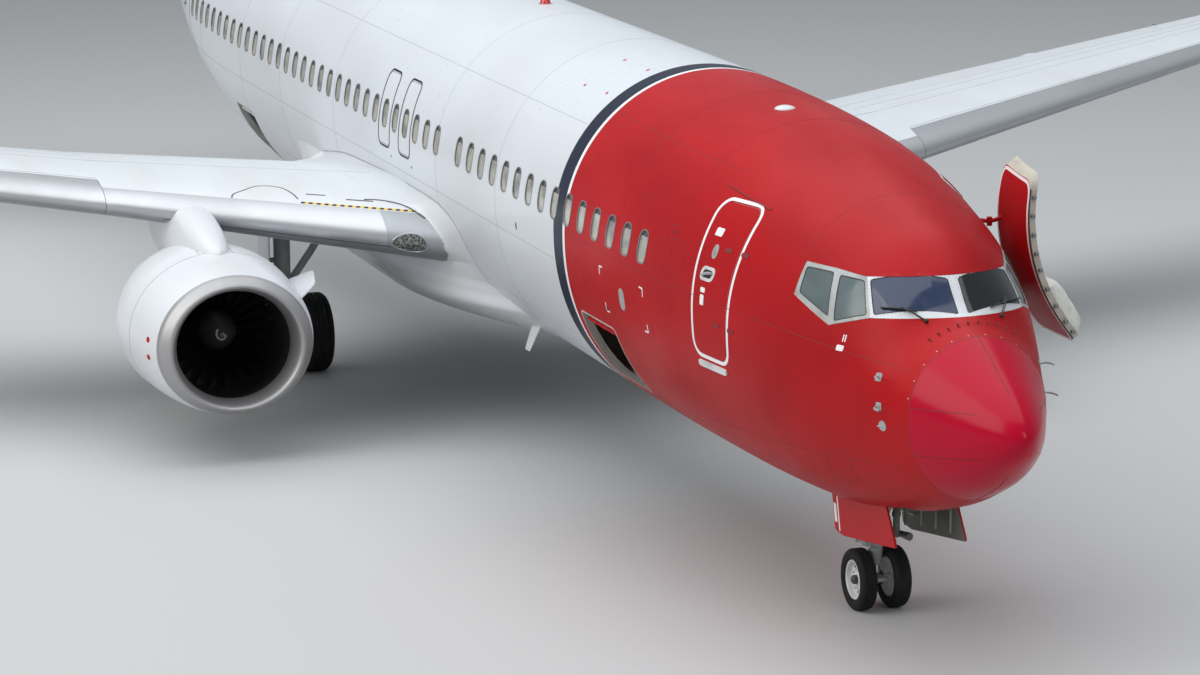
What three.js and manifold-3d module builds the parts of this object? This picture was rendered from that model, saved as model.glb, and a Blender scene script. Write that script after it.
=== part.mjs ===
// Narrow-body twin-jet airliner, parked on its gear with its left front entry door and both
// hold doors open. Real size, in millimetres, +X forward, +Y to port, +Z up.
//
// Every piece is drawn in the airframe's own axes: s is the distance aft of a datum a little
// ahead of the nose tip, y is positive to port, and z is height above the ground under the nose
// wheels. The whole airframe then stands a little nose down, as the type does when it is light.
import * as THREE from 'three';
import { mergeVertices } from 'three/addons/utils/BufferGeometryUtils.js';
import Module from 'manifold-3d';

const wasm = await Module();
wasm.setup();

// Overall lengths. DATUM_X is the place of station 0, and CENTRE_X centres the whole airframe.
const LENGTH = 39470;
const TIP_S = 260;
const DATUM_X = LENGTH / 2;
const GEAR_BASE = 15600;
const NOSE_GEAR_S = 4180;
const MAIN_GEAR_S = NOSE_GEAR_S + GEAR_BASE;
const PARKED_PITCH = THREE.MathUtils.degToRad(1.3);
const CENTRE_X = 170.3;
const MAIN_GROUND_Z = -GEAR_BASE * Math.tan(PARKED_PITCH);

// Clearances. TOUCH parts two fixed pieces that meet, RUNNING parts pieces that move, and ROUND
// parts a round nose from its hollow. FINE is the size of the slivers that a cut leaves, which are
// smoothed away. FAR lies outside the body.
const TOUCH = 0.4;
const RUNNING = 8;
const ROUND = 14;
const FINE = 0.06;
const FAR = 3000;

const RADOME_S = 1480;

// Body stations: distance aft of the datum, crown height, keel height, half width, and the
// height at which the body is widest.
const BODY = [
  // s, crown, keel, halfWidth, waist
  [TIP_S, 2755, 2715, 18, 2735],
  [290, 2829, 2660, 82, 2738],
  [400, 2954, 2523, 202, 2735],
  [650, 3129, 2321, 373, 2732],
  [1030, 3340, 2070, 562, 2745],
  [RADOME_S, 3575, 1865, 765, 2785],
  [1870, 3754, 1700, 911, 2830],
  [2210, 4123, 1589, 1037, 2880],
  [2550, 4384, 1489, 1154, 2930],
  [3000, 4554, 1398, 1312, 2985],
  [3600, 4732, 1302, 1470, 3060],
  [4300, 4901, 1245, 1574, 3160],
  [5000, 5042, 1212, 1668, 3250],
  [6000, 5150, 1197, 1773, 3315],
  [7200, 5222, 1192, 1845, 3345],
  [8500, 5262, 1195, 1877, 3360],
  [10000, 5280, 1200, 1885, 3370],
  [25500, 5280, 1200, 1885, 3370],
  [27500, 5275, 1360, 1860, 3390],
  [29500, 5265, 1740, 1765, 3450],
  [31500, 5250, 2290, 1545, 3560],
  [33500, 5200, 2890, 1215, 3760],
  [35700, 5080, 3480, 815, 4030],
  [37450, 4920, 3940, 450, 4300],
  [38280, 4790, 4200, 250, 4470],
];
const SPLIT_S = 6000;
const TAIL_END_S = 38280;
const BODY_POINTS = 36;
const LOWER_POWER = 2.1;
const SKIN = 90;
const FLOOR_Z = 2790;

// Doors and windows: station of the centre, width, sill, head and corner radius.
const ENTRY = { s: 4950, width: 860, sill: 2790, head: 4620, radius: 130 };
const SERVICE = { s: 4950, width: 780, sill: 2780, head: 4440, radius: 110 };
const REAR = { s: 30950, width: 760, sill: 2790, head: 4440, radius: 110 };
const EXIT = { width: 520, sill: 3270, head: 4240, radius: 90, depth: 65 };
const EXITS = [['front', 16432], ['rear', 17448]];
const HOLD_DOOR = { width: 1220, sill: 1720, head: 2500, radius: 70 };
const HOLDS = [['forward', 8560], ['aft', 26400]];
const HOLD = { half: 1500, floor: 1700, ceiling: 2700, wayIn: 700, openAngle: 58 };
// How far the open entry door's hinge line stands off the body at its foot and head.
const ENTRY_OPEN = { foot: 270, head: 383, angle: 172 };

// Flight deck: the bulkhead behind it with its doorway, the cavity's ends, and the glazing's
// thickness and outline in the side view.
const NOSE = {
  bulkhead: 4150, bulkheadDepth: 80, doorHalf: 310, doorHead: 4600,
  cavityFrom: 1800, cavityTo: 5880, glass: 60,
};
const NOSE_BAY = { from: 2480, to: 4750, half: 370, roof: 2300 };
const GLASS_BAND = [
  // s, z
  [1600, 3705], [1800, 3715], [2290, 3670], [2745, 3531], [3370, 3777], [3405, 4091],
  [2985, 4076], [2613, 4048], [2180, 4088], [1600, 4088],
];
const PANEL_OUTLINE = [[2120, 2950], [2560, 2950], [2480, 3350], [2330, 3440], [2120, 3420]];
const PANEL_HALF = 640;
const SEAT = { s: 3050, side: 530, width: 500, cushion: 3300, back: 3940, plate: 20 };

// Wing sections, root to tip: y, leading edge s, chord, height, thickness over chord.
const CAMBER = 0.012;
const WING = [
  [1300, 14397, 6860, 2289, 0.145],
  [1880, 14700, 6560, 2350, 0.14],
  [3600, 15601, 5770, 2531, 0.13],
  [5750, 16726, 4724, 2757, 0.12],
  [11500, 19737, 3124, 3361, 0.115],
  [16600, 22407, 1706, 3897, 0.105],
];
// Winglet sections: y, leading edge s, chord, height, thickness over chord, lean in degrees.
const WINGLET = [
  [16600, 22407, 1706, 3897, 0.105, 0],
  [17000, 22650, 1460, 3960, 0.1, 22],
  [17330, 22880, 1260, 4160, 0.1, 46],
  [17560, 23150, 1100, 4530, 0.1, 66],
  [17720, 23640, 900, 5150, 0.1, 78],
  [17885, 24760, 470, 6300, 0.1, 82],
];
// Slats, flaps and ailerons: span from and to, and depth at each end as a part of the chord.
const SLAT = { from: 5900, to: 16300, depth: 0.12 };
const FLAPS = [['inboard', 2650, 5150, 0.2, 0.26], ['outboard', 5750, 11900, 0.26, 0.26]];
// The gap at each end of a moving surface lets its swept hinge line turn it clear.
const AILERON = { from: 12250, to: 15700, depth: 0.25, endGap: 32 };
// Fairings over the flap tracks: y, and the stations where each starts and ends.
const TRACKS = [[7100, 19700, 22500], [10300, 21000, 23400]];

// Fin and tailplane sections, then their rudder and elevators.
const FIN = [
  // z, leading edge s, chord, y, thickness over chord
  [4700, 30660, 6750, 0, 0.1],
  [11300, 36440, 2120, 0, 0.1],
  [11790, 37060, 1480, 0, 0.09],
];
const DORSAL = [[27560, 5200], [31660, 5000], [32560, 6560], [30560, 5700]];
const RUDDER = { from: 5600, to: 11300, depth: 0.3, endGap: 95 };
const TAILPLANE = [
  [350, 33090, 4280, 4330, 0.1],
  [7100, 37990, 1740, 5150, 0.09],
];
const ELEVATOR = { from: 1170, to: 6760, depth: 0.3, endGap: 60 };

// Engines: inlet lip station, centre height and distance from the middle, then the sections
// of the cowls: distance aft of the lip, half width, height up, and height down.
const ENGINE = { s: 13876, y: 4830, z: 1330, sides: 24 };
const INLET_OUTER = [
  [0, 870, 800, 800], [80, 965, 872, 855], [190, 1028, 922, 897],
  [560, 1120, 1000, 955], [1120, 1185, 1058, 985],
];
const INLET_INNER = [
  [1120, 785, 785, 785], [650, 775, 765, 765], [280, 757, 712, 712], [90, 800, 742, 742],
];
const FAN_COWL_OUTER = [
  [1121, 1185, 1058, 985], [1650, 1205, 1075, 985], [2300, 1110, 1000, 945], [3050, 890, 835, 830],
];
const FAN_COWL_INNER = [
  [3050, 850, 805, 805], [2300, 850, 830, 830], [1600, 800, 800, 800], [1121, 790, 790, 790],
];
const COWL_POINTS = 30;
// Core profile, and the space kept clear for it: distance aft of the lip, and radius.
const CORE = [
  [1600, 0], [1600, 770], [1680, 770], [1700, 520], [2300, 600], [3300, 520],
  [4150, 330], [4160, 290], [4100, 240], [4700, 60], [4720, 0],
];
const CORE_SPACE = [[0, 0], [0, 600], [3300, 620], [4300, 420], [4800, 300], [4800, 0]];
const SPINNER = [[860, 0], [880, 50], [960, 130], [1080, 215], [1220, 265], [1420, 270], [1420, 0]];
const FAN = { blades: 18, root: 200, tip: 762, from: 1230, chord: 170, thickness: 16, stagger: 40 };
const PYLON_HALF = 150;
const PYLON_OUTLINE = [
  // s, z
  [15050, 2180], [15300, 2500], [15800, 2740], [16400, 2880], [17200, 2900], [19400, 2460],
  [19200, 2130], [18100, 1860], [16900, 1900], [16900, 1300], [15050, 1300],
];

// Landing gear.
const NOSE_TYRE = { radius: 343, width: 197, rim: 200, side: 200 };
const MAIN_TYRE = { radius: 565, width: 410, rim: 300, side: 432 };
const MAIN_GEAR_Y = 2800;
const NOSE_AXLE_Z = NOSE_TYRE.radius / Math.cos(PARKED_PITCH);
const MAIN_AXLE_Z = MAIN_GROUND_Z + MAIN_TYRE.radius / Math.cos(PARKED_PITCH);
const TOW_FITTING = { reach: 150, half: 45, low: 250, high: 330 };
// Legs: radii and half lengths of their parts, and heights above the ground under the nose.
const NOSE_LEG = { radius: 95, low: 700, top: 2290, brace: 45, ahead: 1150, braceLow: 1000, braceTop: 2200 };
const NOSE_CROSS = { radius: 50, half: 360 };
const NOSE_FORK = { stem: 62, collar: 88, low: 620, high: 680, boss: 75, half: 70, bore: 44, axle: 38 };
const MAIN_LEG = { lower: 85, upper: 130, low: 640, top: 2450, boss: 130, bore: 68, axle: 60 };
const MAIN_BRACE = { radius: 55, low: 900, high: 1900, reach: 760 };
const GEAR_PLATE = { half: 330, y: 250, thickness: 25, low: 900, high: 2200, strut: 1300, radius: 40 };
const NOSE_DOOR = { y: 385, thickness: 30 };
const NOSE_DOOR_OUTLINE = [
  // s, z
  [2440, 1560], [4460, 1290], [4360, 880], [4120, 865], [2640, 1090],
];

// Belly fairing sections: s, half width, bottom, top.
const FAIRING = [
  [12100, 900, 1190, 1600],
  [13000, 1500, 1100, 2150],
  [14200, 1950, 1020, 2650],
  [16000, 2090, 1000, 2900],
  [20400, 2090, 1000, 2900],
  [22000, 1850, 1050, 2600],
  [23600, 1100, 1170, 1700],
];
const WHEEL_WELL = { y: 790, radius: 640, roof: 1900 };
// Jack pad under each wing, level with the airframe: its face, and how far it runs up inside.
const JACK = { s: 19250, y: 3950, face: 2310, top: 2500, radius: 70 };

// Finishes, one for each kind of surface.
const FINISH = {
  red: { color: 0xc01020, roughness: 0.35, metalness: 0.0 },
  crimson: { color: 0xb00d2a, roughness: 0.2, metalness: 0.0 },
  white: { color: 0xe9edf2, roughness: 0.35, metalness: 0.0 },
  grey: { color: 0xb9bec4, roughness: 0.5, metalness: 0.1 },
  silver: { color: 0xb8bcc0, roughness: 0.3, metalness: 0.9 },
  steel: { color: 0x8a8d90, roughness: 0.4, metalness: 0.8 },
  hot: { color: 0x5d5650, roughness: 0.5, metalness: 0.8 },
  glass: { color: 0x18222c, roughness: 0.08, metalness: 0.0 },
  dark: { color: 0x24272b, roughness: 0.7, metalness: 0.0 },
  rubber: { color: 0x141414, roughness: 0.85, metalness: 0.0 },
};

// A closed solid from a geometry: only its positions are kept, with shared points merged.
function solid(geometry) {
  const bare = geometry.clone();
  bare.deleteAttribute('normal');
  bare.deleteAttribute('uv');
  const merged = mergeVertices(bare, 1e-3);
  return new wasm.Manifold(new wasm.Mesh({
    numProp: 3,
    vertProperties: new Float32Array(merged.attributes.position.array),
    triVerts: new Uint32Array(merged.index.array),
  }));
}

// A solid whose faces point out, whichever way its outline was drawn.
function outward(geometry) {
  const body = solid(geometry);
  if (body.volume() > 0) {
    return body;
  }
  const index = geometry.index.array;
  for (let i = 0; i < index.length; i += 3) {
    [index[i + 1], index[i + 2]] = [index[i + 2], index[i + 1]];
  }
  return solid(geometry);
}

// The geometry of a solid.
function geometryOf(body) {
  const mesh = body.getMesh();
  const geometry = new THREE.BufferGeometry();
  geometry.setAttribute('position', new THREE.BufferAttribute(new Float32Array(mesh.vertProperties), 3));
  geometry.setIndex(new THREE.BufferAttribute(new Uint32Array(mesh.triVerts), 1));
  geometry.computeVertexNormals();
  return geometry;
}

// A skin through rings of equal length. An open skin is capped at both ends; a closed one
// joins its last ring to its first.
function loft(rings, closed = false) {
  const count = rings[0].length;
  const points = rings.flat();
  const faces = [];
  const spans = closed ? rings.length : rings.length - 1;
  for (let i = 0; i < spans; i += 1) {
    const a = i * count;
    const b = ((i + 1) % rings.length) * count;
    for (let j = 0; j < count; j += 1) {
      const k = (j + 1) % count;
      faces.push([a + j, a + k, b + k], [a + j, b + k, b + j]);
    }
  }
  if (!closed) {
    capRing(rings[0], 0, true, faces);
    capRing(rings.at(-1), (rings.length - 1) * count, false, faces);
  }
  const geometry = new THREE.BufferGeometry().setFromPoints(points);
  geometry.setIndex(faces.flat());
  return outward(geometry);
}

// Fills one end ring with triangles that turn the way the skin beside it needs.
function capRing(ring, start, first, faces) {
  const normal = new THREE.Vector3();
  ring.forEach((p, i) => {
    const q = ring[(i + 1) % ring.length];
    normal.x += (p.y - q.y) * (p.z + q.z);
    normal.y += (p.z - q.z) * (p.x + q.x);
    normal.z += (p.x - q.x) * (p.y + q.y);
  });
  const [ax, ay, az] = normal.toArray().map(Math.abs);
  const flat = ring.map((p) => {
    if (ax >= ay && ax >= az) {
      return new THREE.Vector2(p.y, p.z);
    }
    return ay >= az ? new THREE.Vector2(p.x, p.z) : new THREE.Vector2(p.x, p.y);
  });
  for (const [i, j, k] of THREE.ShapeUtils.triangulateShape(flat, [])) {
    const turn = new THREE.Vector3().subVectors(ring[j], ring[i])
      .cross(new THREE.Vector3().subVectors(ring[k], ring[i])).dot(normal);
    const along = turn > 0 ? [i, j, k] : [i, k, j];
    const [p, q, r] = first ? [along[0], along[2], along[1]] : along;
    faces.push([start + p, start + q, start + r]);
  }
}

// A point in airframe axes, from its distance aft of the nose.
function at(s, y, z) {
  return new THREE.Vector3(DATUM_X - s, y, z);
}

// The body's crown, keel, half width and waist at any station, between the table's rows.
function bodyAt(s) {
  let i = 0;
  while (i < BODY.length - 2 && BODY[i + 1][0] < s) {
    i += 1;
  }
  const [a, b] = [BODY[i], BODY[i + 1]];
  const f = (s - a[0]) / (b[0] - a[0]);
  return [1, 2, 3, 4].map((k) => a[k] + (b[k] - a[k]) * f);
}

// One cross section of the body: an ellipse above the waist, a slightly squarer curve below.
function bodyRing(s, grow = 0) {
  const [crown, keel, halfWidth, waist] = bodyAt(s);
  return Array.from({ length: BODY_POINTS }, (_, i) => {
    const angle = (2 * Math.PI * i) / BODY_POINTS;
    const c = Math.cos(angle);
    const d = Math.sin(angle);
    const power = d < 0 ? 2 / LOWER_POWER : 1;
    const height = d < 0 ? waist - keel : crown - waist;
    const y = (halfWidth + grow) * Math.sign(c) * Math.abs(c) ** power;
    const z = waist + (height + grow) * Math.sign(d) * Math.abs(d) ** power;
    return at(s, y, z);
  });
}

// The body between two stations, with its skin moved out by grow, or in where grow is negative.
function bodyLoft(from, to, grow = 0) {
  const stations = BODY.map((row) => row[0]).filter((s) => s > from && s < to);
  return loft([from, ...stations, to].map((s) => bodyRing(s, grow)));
}

// The half width of the body's outside at a station and a height.
function sideAt(s, z, grow = 0) {
  const [crown, keel, halfWidth, waist] = bodyAt(s);
  const above = z >= waist;
  const t = Math.abs(z - waist) / ((above ? crown - waist : waist - keel) + grow);
  const power = above ? 2 : LOWER_POWER;
  return (halfWidth + grow) * (1 - t ** power) ** (1 / power);
}

// A box between two corners given as (s, y, z).
function box(s0, s1, y0, y1, z0, z1) {
  const geometry = new THREE.BoxGeometry(s1 - s0, y1 - y0, z1 - z0);
  geometry.translate(DATUM_X - (s0 + s1) / 2, (y0 + y1) / 2, (z0 + z1) / 2);
  return solid(geometry);
}

// A prism across the body from y0 to y1, over an outline in (s, z).
function sidePrism(outline, y0, y1) {
  const shape = new THREE.Shape(outline.map(([s, z]) => new THREE.Vector2(DATUM_X - s, z)));
  const geometry = new THREE.ExtrudeGeometry(shape, { depth: y1 - y0, bevelEnabled: false });
  geometry.rotateX(Math.PI / 2);
  geometry.translate(0, y1, 0);
  return solid(geometry);
}

// A prism standing on an outline in (s, y), from z0 to z1.
function planPrism(outline, z0, z1) {
  const shape = new THREE.Shape(outline.map(([s, y]) => new THREE.Vector2(DATUM_X - s, y)));
  const geometry = new THREE.ExtrudeGeometry(shape, { depth: z1 - z0, bevelEnabled: false });
  geometry.translate(0, 0, z0);
  return solid(geometry);
}

// A door outline in (s, z): a rectangle with round corners.
function doorOutline(s, z0, z1, width, radius, gap = 0) {
  const w = width / 2 - gap;
  const h = (z1 - z0) / 2 - gap;
  const r = radius - gap;
  const corners = [[1, 1, 0], [-1, 1, 90], [-1, -1, 180], [1, -1, 270]];
  return corners.flatMap(([i, j, start]) => [0, 30, 60, 90].map((step) => {
    const a = THREE.MathUtils.degToRad(start + step);
    return [s + i * (w - r) + r * Math.cos(a), (z0 + z1) / 2 + j * (h - r) + r * Math.sin(a)];
  }));
}

// A cylinder between two points.
function rod(a, b, radius, sides = 16) {
  const along = new THREE.Vector3().subVectors(b, a);
  const geometry = new THREE.CylinderGeometry(radius, radius, along.length(), sides);
  const turn = new THREE.Quaternion().setFromUnitVectors(new THREE.Vector3(0, 1, 0), along.normalize());
  geometry.applyQuaternion(turn);
  const middle = new THREE.Vector3().addVectors(a, b).multiplyScalar(0.5);
  geometry.translate(middle.x, middle.y, middle.z);
  return solid(geometry);
}

// A turned piece about an axis along Y, from (radius, offset along Y) pairs that close on
// themselves, centred at a point. It has a flat side level with the ground under it.
function turned(profile, centre, sides = 24) {
  const half = Math.PI / sides;
  const outline = [...profile, profile[0]].map(([r, y]) => new THREE.Vector2(r / Math.cos(half), y));
  const geometry = new THREE.LatheGeometry(outline, sides);
  geometry.rotateY(half - PARKED_PITCH);
  geometry.translate(centre.x, centre.y, centre.z);
  return outward(geometry);
}

const join = (bodies) => bodies.reduce((sum, body) => sum.add(body));
const SIDES = [['left', 1], ['right', -1]];

// Holds the pieces in the airframe's own axes.
const airframe = new THREE.Group();

// Adds one named piece to the airframe.
function piece(name, finish, body) {
  const clean = body.asOriginal().simplify(FINE);
  const mesh = new THREE.Mesh(geometryOf(clean), new THREE.MeshStandardMaterial(FINISH[finish]));
  mesh.name = name;
  airframe.add(mesh);
}

// The rounded prism over a door's outline, smaller all round by gap.
function doorPrism(door, side, gap) {
  const outline = doorOutline(door.s, door.sill, door.head, door.width, door.radius, gap);
  return side > 0 ? sidePrism(outline, 100, FAR) : sidePrism(outline, -FAR, -100);
}

// The body's outer layer around a door.
function skinLayer(door, grow, depth) {
  const reach = door.width;
  return bodyLoft(door.s - reach, door.s + reach, grow)
    .subtract(bodyLoft(door.s - reach - 50, door.s + reach + 50, -depth));
}

// A closed door panel, a little thinner than its recess is deep.
function doorPanel(door, side, gap = TOUCH) {
  return skinLayer(door, 0, SKIN - TOUCH).intersect(doorPrism(door, side, gap));
}

// A recess for a door in a solid wall.
function doorRecess(door, side) {
  return skinLayer(door, 20, SKIN).intersect(doorPrism(door, side, 0));
}

// The same solid after a turn, in degrees, about a line through a point.
function turnedAbout(body, point, axis, degrees) {
  const angle = THREE.MathUtils.degToRad(degrees);
  const turn = new THREE.Matrix4().makeTranslation(point)
    .multiply(new THREE.Matrix4().makeRotationAxis(axis.clone().normalize(), angle))
    .multiply(new THREE.Matrix4().makeTranslation(point.clone().negate()));
  return solid(geometryOf(body).applyMatrix4(turn));
}

// The front entry door, swung out and forward on its leaning hinge line until its outer face
// lies beside the body.
function openEntryDoor() {
  const s = ENTRY.s - ENTRY.width / 2 - 30;
  const foot = at(s, sideAt(s, ENTRY.sill) + ENTRY_OPEN.foot, ENTRY.sill);
  const head = at(s, sideAt(s, ENTRY.head) + ENTRY_OPEN.head, ENTRY.head);
  return turnedAbout(doorPanel(ENTRY, 1), foot, head.sub(foot), -ENTRY_OPEN.angle);
}

// An outline drawn in slightly towards its middle.
function drawnIn(outline, part) {
  const middle = [0, 1].map((k) => outline.reduce((sum, p) => sum + p[k], 0) / outline.length);
  return outline.map((p) => p.map((value, k) => middle[k] + (value - middle[k]) * part));
}

// The nose: a thick skin around the flight deck and the entry, with a bulkhead between them,
// solid below the floor except for the nose wheel bay.
function buildNose() {
  const cavity = bodyLoft(NOSE.cavityFrom, NOSE.cavityTo, -SKIN)
    .subtract(box(0, SPLIT_S, -FAR, FAR, 0, FLOOR_Z))
    .subtract(box(NOSE.bulkhead, NOSE.bulkhead + NOSE.bulkheadDepth, -FAR, FAR, 0, 2 * FAR));
  const flightDoor = box(NOSE.bulkhead - TOUCH, NOSE.bulkhead + NOSE.bulkheadDepth + TOUCH,
    -NOSE.doorHalf, NOSE.doorHalf, FLOOR_Z, NOSE.doorHead);
  const bay = box(NOSE_BAY.from, NOSE_BAY.to, -NOSE_BAY.half, NOSE_BAY.half, 0, NOSE_BAY.roof);
  const shell = bodyLoft(RADOME_S, SPLIT_S - TOUCH);
  piece('radome', 'crimson', bodyLoft(TIP_S, RADOME_S - TOUCH));
  piece('nose_section', 'red', shell.subtract(join([
    cavity, flightDoor, bay, sidePrism(GLASS_BAND, -FAR, FAR),
    doorPrism(ENTRY, 1, 0), doorPrism(SERVICE, -1, 0),
  ])));
  piece('flight_deck_windows', 'glass', shell.subtract(bodyLoft(RADOME_S - 10, SPLIT_S, -NOSE.glass))
    .intersect(sidePrism(drawnIn(GLASS_BAND, 0.997), -FAR, FAR)));
  piece('front_service_door', 'red', doorPanel(SERVICE, -1));
  piece('front_entry_door', 'red', openEntryDoor());
  piece('instrument_panel', 'dark', sidePrism(PANEL_OUTLINE, -PANEL_HALF, PANEL_HALF));
  piece('pilot_seats', 'dark', pilotSeats());
}

// Two pilot seats on the one plate that carries them.
function pilotSeats() {
  const { s, side, width, cushion, back, plate } = SEAT;
  const reach = side + width / 2 + 10;
  const outline = [[s, FLOOR_Z + plate / 2], [s + 560, FLOOR_Z + plate / 2], [s + 720, back],
    [s + 590, back], [s + 470, cushion + 30], [s, cushion]];
  return join([
    box(s - 150, s + 750, -reach, reach, FLOOR_Z + 1, FLOOR_Z + plate),
    sidePrism(outline, side - width / 2, side + width / 2),
    sidePrism(outline, -side - width / 2, -side + width / 2),
  ]);
}

// A hold: its walls follow the body's skin from the floor to the ceiling.
function holdCavity(s) {
  return bodyLoft(s - HOLD.half, s + HOLD.half, -SKIN)
    .intersect(box(s - FAR, s + FAR, -FAR, FAR, HOLD.floor, HOLD.ceiling));
}

// The line about which a hold door swings, along the top of its inner face: its aft and
// forward ends.
function holdHinge(s) {
  const z = HOLD_DOOR.head - ROUND;
  const half = HOLD_DOOR.width / 2;
  return [s + half, s - half].map((end) => at(end, -sideAt(end, z, -SKIN), z));
}

// The body behind the nose: solid, with the holds, door recesses and exit recesses cut in.
function buildFuselage() {
  const cuts = wheelWells();
  for (const [name, s] of HOLDS) {
    const door = { ...HOLD_DOOR, s };
    const opening = doorPrism(door, -1, 0).intersect(box(s - FAR, s + FAR, -FAR, -HOLD.wayIn, 0, FAR));
    cuts.push(holdCavity(s), opening);
    const panel = doorPanel(door, -1, ROUND);
    const [aft, forward] = holdHinge(s);
    piece(`${name}_cargo_door`, name === 'forward' ? 'red' : 'white',
      turnedAbout(panel, aft, forward.sub(aft), HOLD.openAngle));
  }
  for (const [side, sign] of SIDES) {
    cuts.push(doorRecess(REAR, sign));
    piece(side === 'left' ? 'rear_entry_door' : 'rear_service_door', 'white', doorPanel(REAR, sign));
    for (const [name, s] of EXITS) {
      const exit = { ...EXIT, s };
      cuts.push(doorRecess(exit, sign));
      piece(`${side}_${name}_overwing_exit`, 'white',
        skinLayer(exit, 0, EXIT.depth).intersect(doorPrism(exit, sign, RUNNING)));
    }
  }
  piece('fuselage', 'white', bodyLoft(SPLIT_S, TAIL_END_S).subtract(join(cuts)));
}

// The wing-to-body fairing.
function fairingLoft(grow = 0) {
  return loft(FAIRING.map(([s, half, bottom, top]) => Array.from({ length: 24 }, (_, i) => {
    const angle = (2 * Math.PI * i) / 24;
    const c = Math.cos(angle);
    const d = Math.sin(angle);
    const power = 0.72;
    const middle = (top + bottom) / 2;
    return at(s, (half + grow) * Math.sign(c) * Math.abs(c) ** power,
      middle + ((top - bottom) / 2 + grow) * Math.sign(d) * Math.abs(d) ** power);
  })));
}

// Half the thickness of an airfoil, over its chord, at a part f of the chord.
function airfoil(f) {
  return 5 * (0.2969 * Math.sqrt(f) - 0.126 * f - 0.3516 * f ** 2 + 0.2843 * f ** 3 - 0.1036 * f ** 4);
}

const CHORD_STEPS = [1, 0.85, 0.7, 0.5, 0.3, 0.15, 0.06, 0.015, 0];
const EDGE = 0.003;

// One section of a lifting surface. Its upper side is fuller than its lower one by camber.
function sectionPoints(lead, chord, thickness, camber) {
  const side = (sign) => CHORD_STEPS.map((f) => {
    const half = airfoil(f) * thickness * chord + EDGE * chord * f;
    return [lead + f * chord, sign * half + camber * chord * 4 * f * (1 - f)];
  });
  return [...side(1), ...side(-1).toReversed().slice(1)];
}

// A lifting surface from a table, mapped into the airframe by place(s, offset, row).
function surface(table, camber, place) {
  return loft(table.map((row) => sectionPoints(row[1], row[2], row[4], camber)
    .map(([s, offset]) => place(s, offset, row))));
}

// The chord line of a table at a distance along it: leading edge and chord.
function chordAt(table, span) {
  let i = 0;
  while (i < table.length - 2 && table[i + 1][0] < span) {
    i += 1;
  }
  const [a, b] = [table[i], table[i + 1]];
  const f = (span - a[0]) / (b[0] - a[0]);
  return [1, 2, 3, 4].map((k) => a[k] + (b[k] - a[k]) * f);
}

// The hinge line of a control surface between two distances along its table: for each end its
// station, its height in the table's other direction, and the radius of its round nose.
function hingeEnds(table, { from, to, depth }) {
  return [from, to].map((span) => {
    const [lead, chord, level, thickness] = chordAt(table, span);
    const f = 1 - depth;
    return { span, s: lead + f * chord, level, radius: airfoil(f) * thickness * chord + 0.01 * chord,
      end: lead + chord + 300 };
  });
}

// A cone between two points with a radius at each.
function cone(a, b, radiusA, radiusB) {
  const along = new THREE.Vector3().subVectors(b, a);
  const geometry = new THREE.CylinderGeometry(radiusB, radiusA, along.length(), 24);
  geometry.applyQuaternion(new THREE.Quaternion()
    .setFromUnitVectors(new THREE.Vector3(0, 1, 0), along.normalize()));
  const middle = new THREE.Vector3().addVectors(a, b).multiplyScalar(0.5);
  geometry.translate(middle.x, middle.y, middle.z);
  return solid(geometry);
}

// The space of a control surface: everything behind its hinge line, and its round nose. The gap
// is all round it, and endGap beyond each of its ends.
function controlSpace(ends, gap, endGap, prism, point) {
  const [a, b] = ends;
  const past = endGap / (b.span - a.span);
  const beyond = (key, from, to) => from[key] + (from[key] - to[key]) * past;
  const [p, q] = [[a, b], [b, a]].map(([from, to]) => ({
    s: beyond('s', from, to),
    span: beyond('span', from, to),
    level: beyond('level', from, to),
    radius: beyond('radius', from, to) + gap,
  }));
  return prism([[p.s - gap, p.span], [a.end, p.span], [b.end, q.span], [q.s - gap, q.span]])
    .add(cone(point(p.s, p.span, p.level), point(q.s, q.span, q.level), p.radius, q.radius));
}

// A wing a little larger than the real one all round, for cutting the pieces that meet it.
function grownWing(sign) {
  const rows = WING.map(([y, lead, chord, z, t]) => [y, lead - 4, chord + 8, z, t + 0.002]);
  return surface(rows, CAMBER, (s, offset, row) => at(s, sign * row[0], row[3] + offset));
}

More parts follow.
